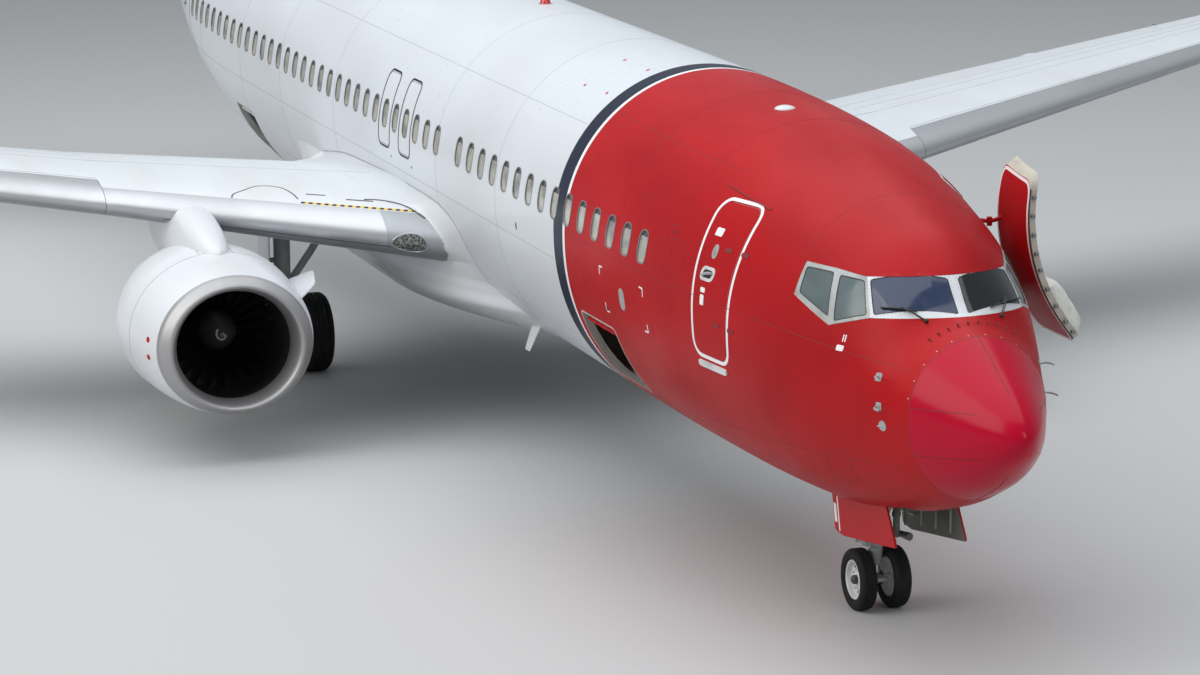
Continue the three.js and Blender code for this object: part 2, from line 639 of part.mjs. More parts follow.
// Wings, with their flaps, slats, ailerons and winglets.
function buildWing(side, sign) {
  const place = (s, offset, row) => at(s, sign * row[0], row[3] + offset);
  const plan = (outline) => planPrism(outline.map(([s, y]) => [s, sign * y]), 0, 3 * FAR);
  const whole = surface(WING, CAMBER, place)
    .subtract(bodyLoft(SPLIT_S, TAIL_END_S, TOUCH)).subtract(fairingLoft(TOUCH));
  const holes = [];
  const slatStrip = (gap) => {
    const edge = [SLAT.from - gap, SLAT.to + gap].map((y) => [y, ...chordAt(WING, y)]);
    const [a, b] = edge;
    return plan([[a[1] - 500, a[0]], [a[1] + SLAT.depth * a[2] + gap, a[0]],
      [b[1] + SLAT.depth * b[2] + gap, b[0]], [b[1] - 500, b[0]]]);
  };
  piece(`${side}_slats`, 'silver', whole.intersect(slatStrip(0)));
  holes.push(slatStrip(TOUCH));
  for (const [name, from, to, depthA, depthB] of FLAPS) {
    const strip = (gap) => {
      const [a, b] = [[from - gap, depthA], [to + gap, depthB]]
        .map(([y, depth]) => ({ y, depth, c: chordAt(WING, y) }));
      const front = (e) => [e.c[0] + (1 - e.depth) * e.c[1] - gap, e.y];
      const back = (e) => [e.c[0] + e.c[1] + 500, e.y];
      return plan([front(a), back(a), back(b), front(b)]);
    };
    piece(`${side}_${name}_flap`, 'white', whole.intersect(strip(0)));
    holes.push(strip(TOUCH));
  }
  const hinge = hingeEnds(WING, AILERON);
  const level = (s, span, z) => at(s, sign * span, z);
  const rise = CAMBER * 4 * AILERON.depth * (1 - AILERON.depth);
  const raised = hinge.map((end) => ({ ...end, level: end.level + rise * chordAt(WING, end.span)[1] }));
  piece(`${side}_aileron`, 'white', whole.intersect(controlSpace(raised, 0, 0, plan, level)));
  holes.push(controlSpace(raised, ROUND, AILERON.endGap, plan, level));
  const cutter = join(holes);
  const canoes = join(TRACKS.map(([y, from, to]) => canoe(y, sign, from, to)))
    .subtract(grownWing(sign).intersect(cutter));
  const pad = rod(at(JACK.s, sign * JACK.y, JACK.face), at(JACK.s, sign * JACK.y, JACK.top), JACK.radius);
  piece(`${side}_wing`, 'white', join([whole.subtract(cutter), canoes, pad]));
  piece(`${side}_winglet`, 'white', winglet(sign));
}

// A streamlined fairing over a flap track, under the wing.
function canoe(y, sign, from, to) {
  const [, chord, z] = chordAt(WING, y);
  const geometry = new THREE.SphereGeometry(1, 12, 8);
  geometry.rotateZ(Math.PI / 2);
  geometry.scale((to - from) / 2, 150, 230);
  geometry.translate(DATUM_X - (from + to) / 2, sign * y, z - 0.035 * chord - 120);
  return solid(geometry);
}

// The blended winglet: the wing's section carried round an upward bend.
function winglet(sign) {
  const rings = WINGLET.map(([y, lead, chord, z, thickness, lean]) => {
    const a = THREE.MathUtils.degToRad(lean);
    return sectionPoints(lead, chord, thickness, CAMBER * Math.cos(a)).map(([s, offset]) => (
      at(s, sign * (y + (lean === 0 ? TOUCH : 0) - offset * Math.sin(a)), z + offset * Math.cos(a))));
  });
  return loft(rings);
}

// The fin with its dorsal strake, the rudder, and the two halves of the tailplane.
function buildTail() {
  const upright = (s, offset, row) => at(s, offset, row[0]);
  const body = bodyLoft(SPLIT_S, TAIL_END_S, TOUCH);
  const fin = surface(FIN, 0, upright).add(sidePrism(DORSAL, -70, 70)).subtract(body);
  const profile = (outline) => sidePrism(outline, -900, 900);
  const middle = (s, span) => at(s, 0, span);
  const hinge = hingeEnds(FIN, RUDDER);
  const rudderHole = controlSpace(hinge, ROUND, RUDDER.endGap, profile, middle);
  piece('rudder', 'white', fin.intersect(controlSpace(hinge, 0, 0, profile, middle)));
  piece('vertical_fin', 'white', fin.subtract(rudderHole));
  for (const [side, sign] of SIDES) {
    const place = (s, offset, row) => at(s, sign * row[0], row[3] + offset);
    const plan = (outline) => planPrism(outline.map(([s, y]) => [s, sign * y]), 3000, 7000);
    const level = (s, span, z) => at(s, sign * span, z);
    const whole = surface(TAILPLANE, 0, place).subtract(body);
    const ends = hingeEnds(TAILPLANE, ELEVATOR);
    const hole = controlSpace(ends, ROUND, ELEVATOR.endGap, plan, level);
    piece(`${side}_elevator`, 'white', whole.intersect(controlSpace(ends, 0, 0, plan, level)));
    piece(`${side}_stabiliser`, 'white', whole.subtract(hole));
  }
}

// A cowl from sections that run out along its outer face and back along its inner one.
function cowl(rows, sign, closed, grow = 0) {
  return loft(rows.map(([d, half, up, down]) => Array.from({ length: COWL_POINTS }, (_, i) => {
    const angle = (2 * Math.PI * i) / COWL_POINTS;
    const c = Math.cos(angle);
    const e = Math.sin(angle);
    return at(ENGINE.s + d, sign * ENGINE.y + (half + grow) * c, ENGINE.z + ((e > 0 ? up : down) + grow) * e);
  })), closed);
}

// A piece turned about an engine's axis, from (distance aft of the lip, radius) pairs.
function spun(profile, sign, sides) {
  const geometry = new THREE.LatheGeometry(profile.map(([d, r]) => new THREE.Vector2(r, -d)), sides);
  geometry.rotateZ(-Math.PI / 2);
  geometry.translate(DATUM_X - ENGINE.s, sign * ENGINE.y, ENGINE.z);
  return outward(geometry);
}

// The fan: a spinner and hub with blades set at an angle around it.
function fan(sign) {
  const hub = spun(SPINNER, sign, ENGINE.sides);
  const blades = Array.from({ length: FAN.blades }, (_, i) => {
    const geometry = new THREE.BoxGeometry(FAN.chord, FAN.thickness, FAN.tip - FAN.root);
    geometry.rotateZ(THREE.MathUtils.degToRad(FAN.stagger));
    geometry.translate(0, 0, (FAN.tip + FAN.root) / 2);
    geometry.rotateX((2 * Math.PI * i) / FAN.blades);
    geometry.translate(DATUM_X - ENGINE.s - FAN.from - FAN.chord / 2, sign * ENGINE.y, ENGINE.z);
    return solid(geometry);
  });
  return join([hub, ...blades]);
}

// Engines: inlet, fan cowl, core, fan, and the pylon that hangs them from the wing.
function buildEngine(side, sign) {
  piece(`${side}_inlet_cowl`, 'silver', cowl([...INLET_OUTER, ...INLET_INNER], sign, true));
  piece(`${side}_nacelle`, 'white', cowl([...FAN_COWL_OUTER, ...FAN_COWL_INNER], sign, true));
  piece(`${side}_engine_core`, 'hot', spun(CORE, sign, ENGINE.sides));
  piece(`${side}_fan`, 'steel', fan(sign));
  const y = sign * ENGINE.y;
  const pastEnd = FAN_COWL_OUTER.at(-1).map((value, k) => (k === 0 ? value + RUNNING : value));
  piece(`${side}_pylon`, 'white', sidePrism(PYLON_OUTLINE, y - PYLON_HALF, y + PYLON_HALF)
    .subtract(grownWing(sign))
    .subtract(cowl([...INLET_OUTER, ...FAN_COWL_OUTER, pastEnd], sign, false, TOUCH))
    .subtract(spun(CORE_SPACE, sign, ENGINE.sides)));
}

// A wheel profile about the axle: (radius, offset along Y) pairs for one tyre.
function tyreProfile({ radius, width, rim }) {
  const w = width / 2;
  return [[rim, -0.72 * w], [rim + 0.45 * (radius - rim), -w], [radius - 0.12 * (radius - rim), -0.82 * w],
    [radius, -0.45 * w], [radius, 0.45 * w], [radius - 0.12 * (radius - rim), 0.82 * w],
    [rim + 0.45 * (radius - rim), w], [rim, 0.72 * w]];
}

// Two rims on the axle that turns with them.
function twinWheels({ rim, width, side }, centre, radius) {
  const w = 0.33 * width;
  const r = rim - TOUCH;
  const wheel = (y) => turned([[0, y - w / 2], [0.75 * r, y - w / 2], [r, y - w], [r, y + w],
    [0.75 * r, y + w / 2], [0, y + w / 2]], centre);
  const end = new THREE.Vector3(0, side + w, 0);
  return join([wheel(-side), wheel(side),
    rod(centre.clone().sub(end), centre.clone().add(end), radius)]);
}

// Nose gear: a fixed outer leg, a lower leg that steers, twin wheels, and the bay's doors.
function buildNoseGear() {
  const s = NOSE_GEAR_S;
  const axle = at(s, 0, NOSE_AXLE_Z);
  const across = (half, z, u = s) => [at(u, -half, z), at(u, half, z)];
  const front = s - NOSE_LEG.ahead;
  piece('nose_gear_leg', 'white', join([
    rod(at(s, 0, NOSE_LEG.low), at(s, 0, NOSE_LEG.top), NOSE_LEG.radius),
    rod(at(s - 60, 0, NOSE_LEG.braceLow), at(front, 0, NOSE_LEG.braceTop), NOSE_LEG.brace, 10),
    rod(...across(NOSE_CROSS.half, NOSE_LEG.braceTop, front), NOSE_CROSS.radius, 10),
  ]));
  const { reach, half, low, high } = TOW_FITTING;
  piece('nose_gear_fork', 'steel', join([
    rod(axle, at(s, 0, NOSE_LEG.low - RUNNING), NOSE_FORK.stem),
    rod(at(s, 0, NOSE_FORK.low), at(s, 0, NOSE_FORK.high), NOSE_FORK.collar),
    rod(...across(NOSE_FORK.half, NOSE_AXLE_Z), NOSE_FORK.boss),
    box(s - reach, s, -half, half, low, high),
  ]).subtract(rod(...across(NOSE_FORK.half + 30, NOSE_AXLE_Z), NOSE_FORK.bore)));
  piece('nose_wheels', 'grey', twinWheels(NOSE_TYRE, axle, NOSE_FORK.axle));
  for (const [side, sign] of SIDES) {
    const centre = axle.clone().setY(sign * NOSE_TYRE.side);
    piece(`nose_${side}_tyre`, 'rubber', turned(tyreProfile(NOSE_TYRE), centre));
    const { y, thickness } = NOSE_DOOR;
    const near = sign > 0 ? y : -y - thickness;
    piece(`${side}_nose_gear_door`, 'red', sidePrism(NOSE_DOOR_OUTLINE, near, near + thickness)
      .subtract(bodyLoft(RADOME_S, SPLIT_S, TOUCH)));
  }
}

// Main gear: a leg with its side brace and door plate, and twin wheels on a turning axle.
function buildMainGear(side, sign) {
  const s = MAIN_GEAR_S;
  const out = (reach, z) => at(s, sign * (MAIN_GEAR_Y + reach), z);
  const { half, y, thickness, low, high, strut, radius } = GEAR_PLATE;
  const corners = [[-half, y], [half, y], [half, y + thickness], [-half, y + thickness]];
  const plate = planPrism(corners.map(([u, v]) => [s + u, sign * (MAIN_GEAR_Y + v)]), low, high);
  const { boss, bore } = MAIN_LEG;
  piece(`${side}_main_gear_leg`, 'grey', join([
    rod(out(-boss, MAIN_AXLE_Z), out(boss, MAIN_AXLE_Z), boss),
    rod(out(0, MAIN_AXLE_Z), out(0, MAIN_LEG.low + boss / 2), MAIN_LEG.lower),
    rod(out(0, MAIN_LEG.low), out(0, MAIN_LEG.top), MAIN_LEG.upper),
    rod(out(-60, MAIN_BRACE.low), out(-MAIN_BRACE.reach, MAIN_BRACE.high), MAIN_BRACE.radius, 10),
    plate,
    rod(out(0, strut), out(y + thickness / 2, strut), radius, 10),
  ]).subtract(rod(out(-boss - 70, MAIN_AXLE_Z), out(boss + 70, MAIN_AXLE_Z), bore))
    .subtract(grownWing(sign)).subtract(fairingLoft(TOUCH)));
  const axle = out(0, MAIN_AXLE_Z);
  piece(`${side}_main_wheels`, 'grey', twinWheels(MAIN_TYRE, axle, MAIN_LEG.axle));
  for (const [place, way] of [['inner', -1], ['outer', 1]]) {
    piece(`${side}_${place}_main_tyre`, 'rubber',
      turned(tyreProfile(MAIN_TYRE), out(way * MAIN_TYRE.side, MAIN_AXLE_Z)));
  }
}

// The two round wells that hold the main wheels in flight, open below.
function wheelWells() {
  return SIDES.map(([, sign]) => {
    const y = sign * WHEEL_WELL.y;
    return rod(at(MAIN_GEAR_S, y, 500), at(MAIN_GEAR_S, y, WHEEL_WELL.roof), WHEEL_WELL.radius, 28);
  });
}

function buildFairing() {
  piece('belly_fairing', 'white', fairingLoft().subtract(bodyLoft(SPLIT_S, TAIL_END_S, TOUCH))
    .subtract(join(wheelWells())));
}

buildNose();
buildFuselage();
buildFairing();
buildTail();
buildNoseGear();
for (const [side, sign] of SIDES) {
  buildWing(side, sign);
  buildEngine(side, sign);
  buildMainGear(side, sign);
}

airframe.rotation.y = PARKED_PITCH;
airframe.position.set(CENTRE_X, 0, (DATUM_X - NOSE_GEAR_S) * Math.sin(PARKED_PITCH));
const airliner = new THREE.Group();
airliner.add(airframe);

export default airliner;
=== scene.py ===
# %% [markdown]
# # A twin-jet airliner at rest
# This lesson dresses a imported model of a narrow-body airliner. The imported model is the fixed
# frame: it says where each wheel, door and wing is, and how each one moves. Here every visible
# surface is made again as a smooth mesh with numpy, given a finish made of shader nodes, and tied
# to the body it moves with.

import math

import bpy
import numpy as np
from mathutils import Matrix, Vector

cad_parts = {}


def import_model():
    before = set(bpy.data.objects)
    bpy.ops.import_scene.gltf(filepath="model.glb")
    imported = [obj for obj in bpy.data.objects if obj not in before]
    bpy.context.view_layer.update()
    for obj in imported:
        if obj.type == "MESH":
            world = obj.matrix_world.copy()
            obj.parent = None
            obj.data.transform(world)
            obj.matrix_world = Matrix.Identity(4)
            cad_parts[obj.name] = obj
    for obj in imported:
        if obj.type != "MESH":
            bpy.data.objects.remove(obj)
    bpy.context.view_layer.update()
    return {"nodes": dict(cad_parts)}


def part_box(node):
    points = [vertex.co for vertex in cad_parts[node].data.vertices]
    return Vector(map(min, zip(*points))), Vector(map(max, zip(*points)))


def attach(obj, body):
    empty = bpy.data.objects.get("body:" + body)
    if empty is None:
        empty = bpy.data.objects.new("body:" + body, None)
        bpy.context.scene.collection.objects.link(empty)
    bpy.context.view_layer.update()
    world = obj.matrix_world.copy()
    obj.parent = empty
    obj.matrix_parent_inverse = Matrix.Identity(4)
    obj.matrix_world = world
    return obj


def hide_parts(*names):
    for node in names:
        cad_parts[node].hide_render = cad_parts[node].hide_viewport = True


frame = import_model()

# %% [markdown]
# The airliner stands a little nose down, so shapes are easier to write in the airframe's own axes:
# s is the distance aft of a point just ahead of the nose, y is positive to port, and z is the
# height above the ground under the nose wheels. One function turns those into the frame's metres.
# A rotation matrix on each object would also do, but the pieces have to lie at the origin unturned.

# %% Airframe axes
PITCH = math.radians(1.3)
DATUM, CENTRE_X, NOSE_GEAR_S = 19.735, 0.1703, 4.18
RISE = (DATUM - NOSE_GEAR_S) * math.sin(PITCH)
COS, SIN = math.cos(PITCH), math.sin(PITCH)


def world(points):
    """Airframe points as frame points: x runs against s, then the pair (x, z) turns by the pitch."""
    p = np.asarray(points, float)
    x, y, z = DATUM - p[..., 0], p[..., 1], p[..., 2]
    return np.stack([COS * x + SIN * z + CENTRE_X, y, COS * z - SIN * x + RISE], -1)


def airframe(points):
    """Frame points as airframe points: the same turn taken back."""
    p = np.asarray(points, float)
    x, y, z = p[..., 0] - CENTRE_X, p[..., 1], p[..., 2] - RISE
    return np.stack([DATUM - (COS * x - SIN * z), y, COS * z + SIN * x], -1)


def unit(vectors):
    """Vectors divided by their own lengths."""
    return vectors / np.maximum(np.linalg.norm(vectors, axis=-1, keepdims=True), 1e-9)


# %% [markdown]
# Every shape here is a row of rings joined by triangles. Each ring is a closed loop of points, and
# the two ends are closed by a fan about their middle, so each part is one closed skin. Blender's
# own extrude and spin tools make the same thing by hand. Whole arrays are quicker and exact.

# %% Rings, fans and tubes
def circle(count):
    """Angles evenly round a full turn."""
    return np.linspace(0, 2 * np.pi, count, endpoint=False)


def bent(values, power):
    """A power of each value's size that keeps its sign, which squares off a sine or a cosine."""
    return np.sign(values) * np.abs(values) ** power


def heading(path, closed):
    """The step from the point before to the point after, along a path."""
    return np.roll(path, -1, 0) - np.roll(path, 1, 0) if closed else np.gradient(path, axis=0)


def rings_to_part(rings, wrap=False):
    """Triangles between neighbouring rings: each quad between two points of one ring and the next
    two is split along its diagonal, and a fan about the middle closes each end unless they wrap."""
    rings = np.asarray(rings, float)
    count, size = rings.shape[:2]
    i = np.arange(count if wrap else count - 1)[:, None] * size
    j = np.arange(size)[None]
    k, up = (j + 1) % size, size
    nxt = (i + up) % (count * size)
    faces = [np.stack([i + j, i + k, nxt + k], -1), np.stack([i + j, nxt + k, nxt + j], -1)]
    faces = [f.reshape(-1, 3) for f in faces]
    verts = rings.reshape(-1, 3)
    if not wrap:
        ends = np.stack([rings[0].mean(0), rings[-1].mean(0)])
        first, last = len(verts), len(verts) + 1
        j, k, base = j[0], k[0], (count - 1) * size
        faces.append(np.stack([np.full(size, first), k, j], -1))
        faces.append(np.stack([np.full(size, last), base + j, base + k], -1))
        verts = np.concatenate([verts, ends])
    return outward(verts, np.concatenate(faces))


def outward(verts, faces):
    """The part with its faces turned out: the signed volume, a sum of a . (b x c) / 6, is positive."""
    a, b, c = np.moveaxis(world(verts)[faces], 1, 0)
    volume = np.einsum("ij,ij->", a, np.cross(b, c)) / 6
    return verts, faces if volume > 0 else faces[:, ::-1]


def merged(parts):
    """Several parts as one list of points and triangles, each part's indices moved up in turn."""
    starts = np.cumsum([0] + [len(v) for v, _ in parts[:-1]])
    return (np.concatenate([v for v, _ in parts]),
            np.concatenate([f + start for (_, f), start in zip(parts, starts)]))


def frame_of(axis):
    """Two unit vectors square to an axis and to each other."""
    axis = unit(np.asarray(axis, float))
    side = unit(np.cross(axis, [0.0, 0.0, 1.0] if abs(axis[2]) < 0.9 else [1.0, 0.0, 0.0]))
    return axis, side, np.cross(axis, side)


def lathe(profile, centre, axis=(0, 1, 0), sides=48, wrap=False):
    """A profile of (radius, distance along the axis) rows, turned about an axis: each row is a ring."""
    axis, side, third = frame_of(axis)
    profile = np.asarray(profile, float)
    turn = circle(sides)[:, None]
    spokes = np.cos(turn) * side + np.sin(turn) * third
    rings = profile[:, 0, None, None] * spokes + profile[:, 1, None, None] * axis
    return rings_to_part(rings + np.asarray(centre, float), wrap)


def rod(a, b, radius, end=None, sides=20):
    """A round bar from a to b with small chamfers, as a lathe profile of four rows."""
    a, b = np.asarray(a, float), np.asarray(b, float)
    end = radius if end is None else end
    length = np.linalg.norm(b - a)
    lip = min(0.15 * min(radius, end), 0.2 * length)
    profile = [(radius - lip, 0), (radius, lip), (end, length - lip), (end - lip, length)]
    return lathe(profile, a, b - a, sides)


def box_part(s, y, z, lip=0.006):
    """A block between pairs of limits in s, y and z: four rectangles in a row, of which the end ones
    are a little smaller, give it chamfers."""
    rings = []
    for at, inset in ((s[0], lip), (s[0] + lip, 0), (s[1] - lip, 0), (s[1], lip)):
        y0, y1, z0, z1 = y[0] + inset, y[1] - inset, z[0] + inset, z[1] - inset
        rings.append([(at, y0, z0), (at, y1, z0), (at, y1, z1), (at, y0, z1)])
    return rings_to_part(rings)


def tube(path, radius, sides=10, closed=False):
    """A round tube along a path: each ring is square to the path's own direction there."""
    path = np.asarray(path, float)
    ahead = unit(heading(path, closed))
    ref = np.where(np.abs(ahead[:, 2:]) < 0.8, [[0.0, 0.0, 1.0]], [[0.0, 1.0, 0.0]])
    side = unit(np.cross(ahead, ref))
    third = np.cross(ahead, side)
    turn = circle(sides)[None, :, None]
    rings = path[:, None] + radius * (np.cos(turn) * side[:, None] + np.sin(turn) * third[:, None])
    return rings_to_part(rings, closed)


def ribbon(path, normal, width, proud=0.0015, sunk=0.004, closed=True):
    """A flat strip on a surface: four corners at each point, half the width to each side of the
    path, from a little under the surface to a little above it."""
    path, normal = np.asarray(path, float), unit(np.asarray(normal, float))
    across = unit(np.cross(normal, heading(path, closed))) * width / 2
    low, high = path - normal * sunk, path + normal * proud
    return rings_to_part(np.stack([low - across, low + across, high + across, high - across], 1), closed)


def prism(outline, direction, start, stop):
    """A closed prism: an outline of points moved along a direction from start to stop."""
    outline, direction = np.asarray(outline, float), unit(np.asarray(direction, float))
    return rings_to_part(np.stack([outline + direction * start, outline + direction * stop]))


def rounded(centre, size, radius):
    """The outline of a rectangle with round corners: four quarter circles of equal steps."""
    half = np.asarray(size, float) / 2 - radius
    turn = np.linspace(0, np.pi / 2, 6)
    signs = np.array([(1, 1), (-1, 1), (-1, -1), (1, -1)], float)
    angle = turn[None] + np.arange(4)[:, None] * np.pi / 2
    corner = np.stack([np.cos(angle), np.sin(angle)], -1) * radius
    return (np.asarray(centre) + signs[:, None] * half + corner).reshape(-1, 2)


def spline(points, per=6):
    """A curve through rows of numbers: between two rows it is a cubic whose slope at each row is
    half the step from the row before to the row after."""
    p = np.asarray(points, float)
    slope = np.gradient(p, axis=0)
    t = np.linspace(0, 1, per, endpoint=False)[None, :, None]
    a, b, m, n = [rows[:, None] for rows in (p[:-1], p[1:], slope[:-1], slope[1:])]
    out = a + t * m + t**2 * (3 * (b - a) - 2 * m - n) + t**3 * (2 * (a - b) + m + n)
    return np.concatenate([out.reshape(-1, p.shape[1]), p[-1:]])


# %% [markdown]
# A part becomes an object when it gets a mesh, a finish and a body to ride on. Edges sharper than a set angle
# stay sharp, and all others are shaded smooth.
# Cutting is left to Blender's boolean modifier, whose manifold solver is quick on closed skins. Its
# result is baked at once, so that no live modifier is left behind.

# %% Objects and cutting
pieces, slot_of = {}, {}


def solid(name, parts):
    """An object in the scene from its parts."""
    verts, faces = merged(parts) if isinstance(parts, list) else parts
    mesh = bpy.data.meshes.new(name)
    mesh.from_pydata(world(verts).tolist(), [], faces.tolist())
    obj = bpy.data.objects.new(name, mesh)
    bpy.context.scene.collection.objects.link(obj)
    return obj


def make(name, parts, finish, body="airframe", replaces=(), sharp=35):
    """One visible piece from its parts, in its finish and on its body."""
    obj = solid(name, parts)
    obj.data.materials.append(finish)
    settle(obj, sharp)
    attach(obj, body)
    if replaces:
        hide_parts(*replaces)
    pieces[name] = obj
    return obj


def settle(obj, sharp=35):
    """Shades a mesh smooth but for its sharp edges."""
    obj.data.shade_smooth()
    obj.data.set_sharp_from_angle(angle=math.radians(sharp))
    obj.data.update()


def carve(obj, tools, operation="DIFFERENCE"):
    """Takes closed parts away from a piece, or keeps what it shares with them."""
    tool = solid("tool", tools)
    mesh = tool.data
    step = obj.modifiers.new("cut", "BOOLEAN")
    step.solver, step.operation, step.object = "MANIFOLD", operation, tool
    baked = bpy.data.meshes.new_from_object(obj.evaluated_get(bpy.context.evaluated_depsgraph_get()))
    obj.modifiers.clear()
    old, obj.data = obj.data, baked
    baked.name = old.name
    bpy.data.meshes.remove(old)
    bpy.data.objects.remove(tool)
    bpy.data.meshes.remove(mesh)
    settle(obj)


def centres(obj):
    """The middle of each face in airframe axes, and its outward direction in the frame's."""
    count = len(obj.data.polygons)
    middle, normal = np.zeros(count * 3), np.zeros(count * 3)
    obj.data.polygons.foreach_get("center", middle)
    obj.data.polygons.foreach_get("normal", normal)
    return airframe(middle.reshape(-1, 3)), normal.reshape(-1, 3)


def paint(obj, finish, mask):
    """Gives the faces picked out by a mask a second finish."""
    obj.data.materials.append(finish)
    index = np.zeros(len(obj.data.polygons), np.int32)
    obj.data.polygons.foreach_get("material_index", index)
    index[mask] = len(obj.data.materials) - 1
    obj.data.polygons.foreach_set("material_index", index)
    obj.data.update()

# %% [markdown]
# ## Finishes
# Paint on an airliner is glossy but never perfect: it has faint dirt, slow changes of shade and a
# slight ripple from the sheet metal under it. Those effects are shared, so each is a node group
# that turns a position into colours, masks and heights, and the shader itself stays outside it.

# %% Node helpers and shared effects
def add(tree, kind, links=None, **settings):
    """A new node: its settings are assigned, its inputs are linked to a socket or given a value."""
    item = tree.nodes.new(kind)
    for key, value in settings.items():
        setattr(item, key, value)
    for key, value in (links or {}).items():
        if isinstance(value, bpy.types.NodeSocket):
            tree.links.new(value, item.inputs[key])
        else:
            item.inputs[key].default_value = value
    return item


def group(name, inputs, outputs):
    """An empty shader group with named sockets, and its tree, input node and output node."""
    tree = bpy.data.node_groups.new(name, "ShaderNodeTree")
    for title, kind, value in inputs:
        socket = tree.interface.new_socket(title, in_out="INPUT", socket_type="NodeSocket" + kind)
        if value is not None:
            socket.default_value = value
    for title, kind in outputs:
        tree.interface.new_socket(title, in_out="OUTPUT", socket_type="NodeSocket" + kind)
    return tree, tree.nodes.new("NodeGroupInput"), tree.nodes.new("NodeGroupOutput")


def maths(tree, operation, *values):
    """One arithmetic node's output."""
    item = add(tree, "ShaderNodeMath", dict(enumerate(values)), operation=operation)
    return item.outputs[0]


weather, source, sink = group(
    "weathering",
    [("Vector", "Vector", None), ("Color", "Color", (1, 1, 1, 1)), ("Dirt", "Color", (0.2, 0.18, 0.15, 1)),
     ("Amount", "Float", 0.2), ("Scale", "Float", 1.0)],
    [("Color", "Color"), ("Roughness", "Float"), ("Height", "Float")])
stretch = add(weather, "ShaderNodeMapping", {0: source.outputs["Vector"], "Scale": (0.35, 1.0, 0.5)})
cloud = add(weather, "ShaderNodeTexNoise", {"Vector": stretch.outputs[0], "Scale": source.outputs["Scale"],
                                            "Detail": 3.0, "Roughness": 0.5})
fine = add(weather, "ShaderNodeTexNoise", {"Vector": source.outputs["Vector"], "Scale": 9.0, "Detail": 4.0})
patchy = add(weather, "ShaderNodeMapRange", {0: cloud.outputs["Fac"], 1: 0.42, 2: 0.72}, clamp=True)
share = maths(weather, "MULTIPLY", patchy.outputs[0], source.outputs["Amount"])
paints = {"Factor": share, 6: source.outputs["Color"], 7: source.outputs["Dirt"]}
soiled = add(weather, "ShaderNodeMix", paints, data_type="RGBA")
rough = maths(weather, "MULTIPLY_ADD", fine.outputs["Fac"], 0.10, maths(weather, "MULTIPLY", share, 0.35))
weather.links.new(soiled.outputs[2], sink.inputs["Color"])
weather.links.new(rough, sink.inputs["Roughness"])
broad = add(weather, "ShaderNodeTexNoise", {"Vector": source.outputs["Vector"], "Scale": 1.3, "Detail": 1.0})
weather.links.new(broad.outputs["Fac"], sink.inputs["Height"])

brushed, source, sink = group(
    "brushed grain", [("Vector", "Vector", None), ("Along", "Vector", (1, 60, 60))],
    [("Value", "Float"), ("Height", "Float")])
pulled = add(brushed, "ShaderNodeVectorMath", {0: source.outputs["Vector"], 1: source.outputs["Along"]},
             operation="MULTIPLY")
grain = add(brushed, "ShaderNodeTexNoise", {"Vector": pulled.outputs[0], "Scale": 3.0, "Detail": 5.0})
brushed.links.new(grain.outputs["Fac"], sink.inputs["Value"])
brushed.links.new(grain.outputs["Fac"], sink.inputs["Height"])

print("shared effects:", [tree.name for tree in (weather, brushed)])

# %% [markdown]
# Each finish is one material: the position in airframe axes feeds the shared effects, and they feed
# the shader's colour, roughness and bump. Values that are the same all over sit on the shader's own
# sockets. An image texture could show the same dirt, but a pattern made of nodes has no edges. The
# table at the end says which of the record's slots each finish usually goes with.

# %% Finishes by name
def finish(name, color, rough, dirt=(0.23, 0.2, 0.17), amount=0.12, scale=0.8, metal=0.0, coat=0.0,
           bump=0.02, grain=None, gloss=0.5):
    """A material with weathering, and where asked for with a brushed grain."""
    made = bpy.data.materials.new(name)
    made.use_nodes = True
    tree = made.node_tree
    tree.nodes.clear()
    out = tree.nodes.new("ShaderNodeOutputMaterial")
    shader = add(tree, "ShaderNodeBsdfPrincipled",
                 {"Metallic": metal, "Coat Weight": coat, "Specular IOR Level": gloss})
    tree.links.new(shader.outputs[0], out.inputs[0])
    place = add(tree, "ShaderNodeTexCoord").outputs["Object"]
    shift = (SIN * RISE - COS * CENTRE_X, 0, -COS * RISE - SIN * CENTRE_X)
    level = add(tree, "ShaderNodeMapping", {0: place, "Location": shift, "Rotation": (0, -PITCH, 0)})
    worn = tree.nodes.new("ShaderNodeGroup")
    worn.node_tree = weather
    tree.links.new(level.outputs[0], worn.inputs["Vector"])
    for key, value in (("Color", (*color, 1)), ("Dirt", (*dirt, 1)), ("Amount", amount), ("Scale", scale)):
        worn.inputs[key].default_value = value
    height = worn.outputs["Height"]
    rough_socket = maths(tree, "ADD", worn.outputs["Roughness"], rough)
    if grain:
        lines = add(tree, "ShaderNodeGroup", node_tree=brushed)
        tree.links.new(level.outputs[0], lines.inputs["Vector"])
        lines.inputs["Along"].default_value = grain
        rough_socket = maths(tree, "MULTIPLY_ADD", lines.outputs["Value"], 0.12, rough_socket)
        height = maths(tree, "ADD", height, lines.outputs["Height"])
    tree.links.new(worn.outputs["Color"], shader.inputs["Base Color"])
    tree.links.new(rough_socket, shader.inputs["Roughness"])
    ripple = add(tree, "ShaderNodeBump", {"Strength": bump, "Distance": 0.02, "Height": height})
    tree.links.new(ripple.outputs[0], shader.inputs["Normal"])
    return made


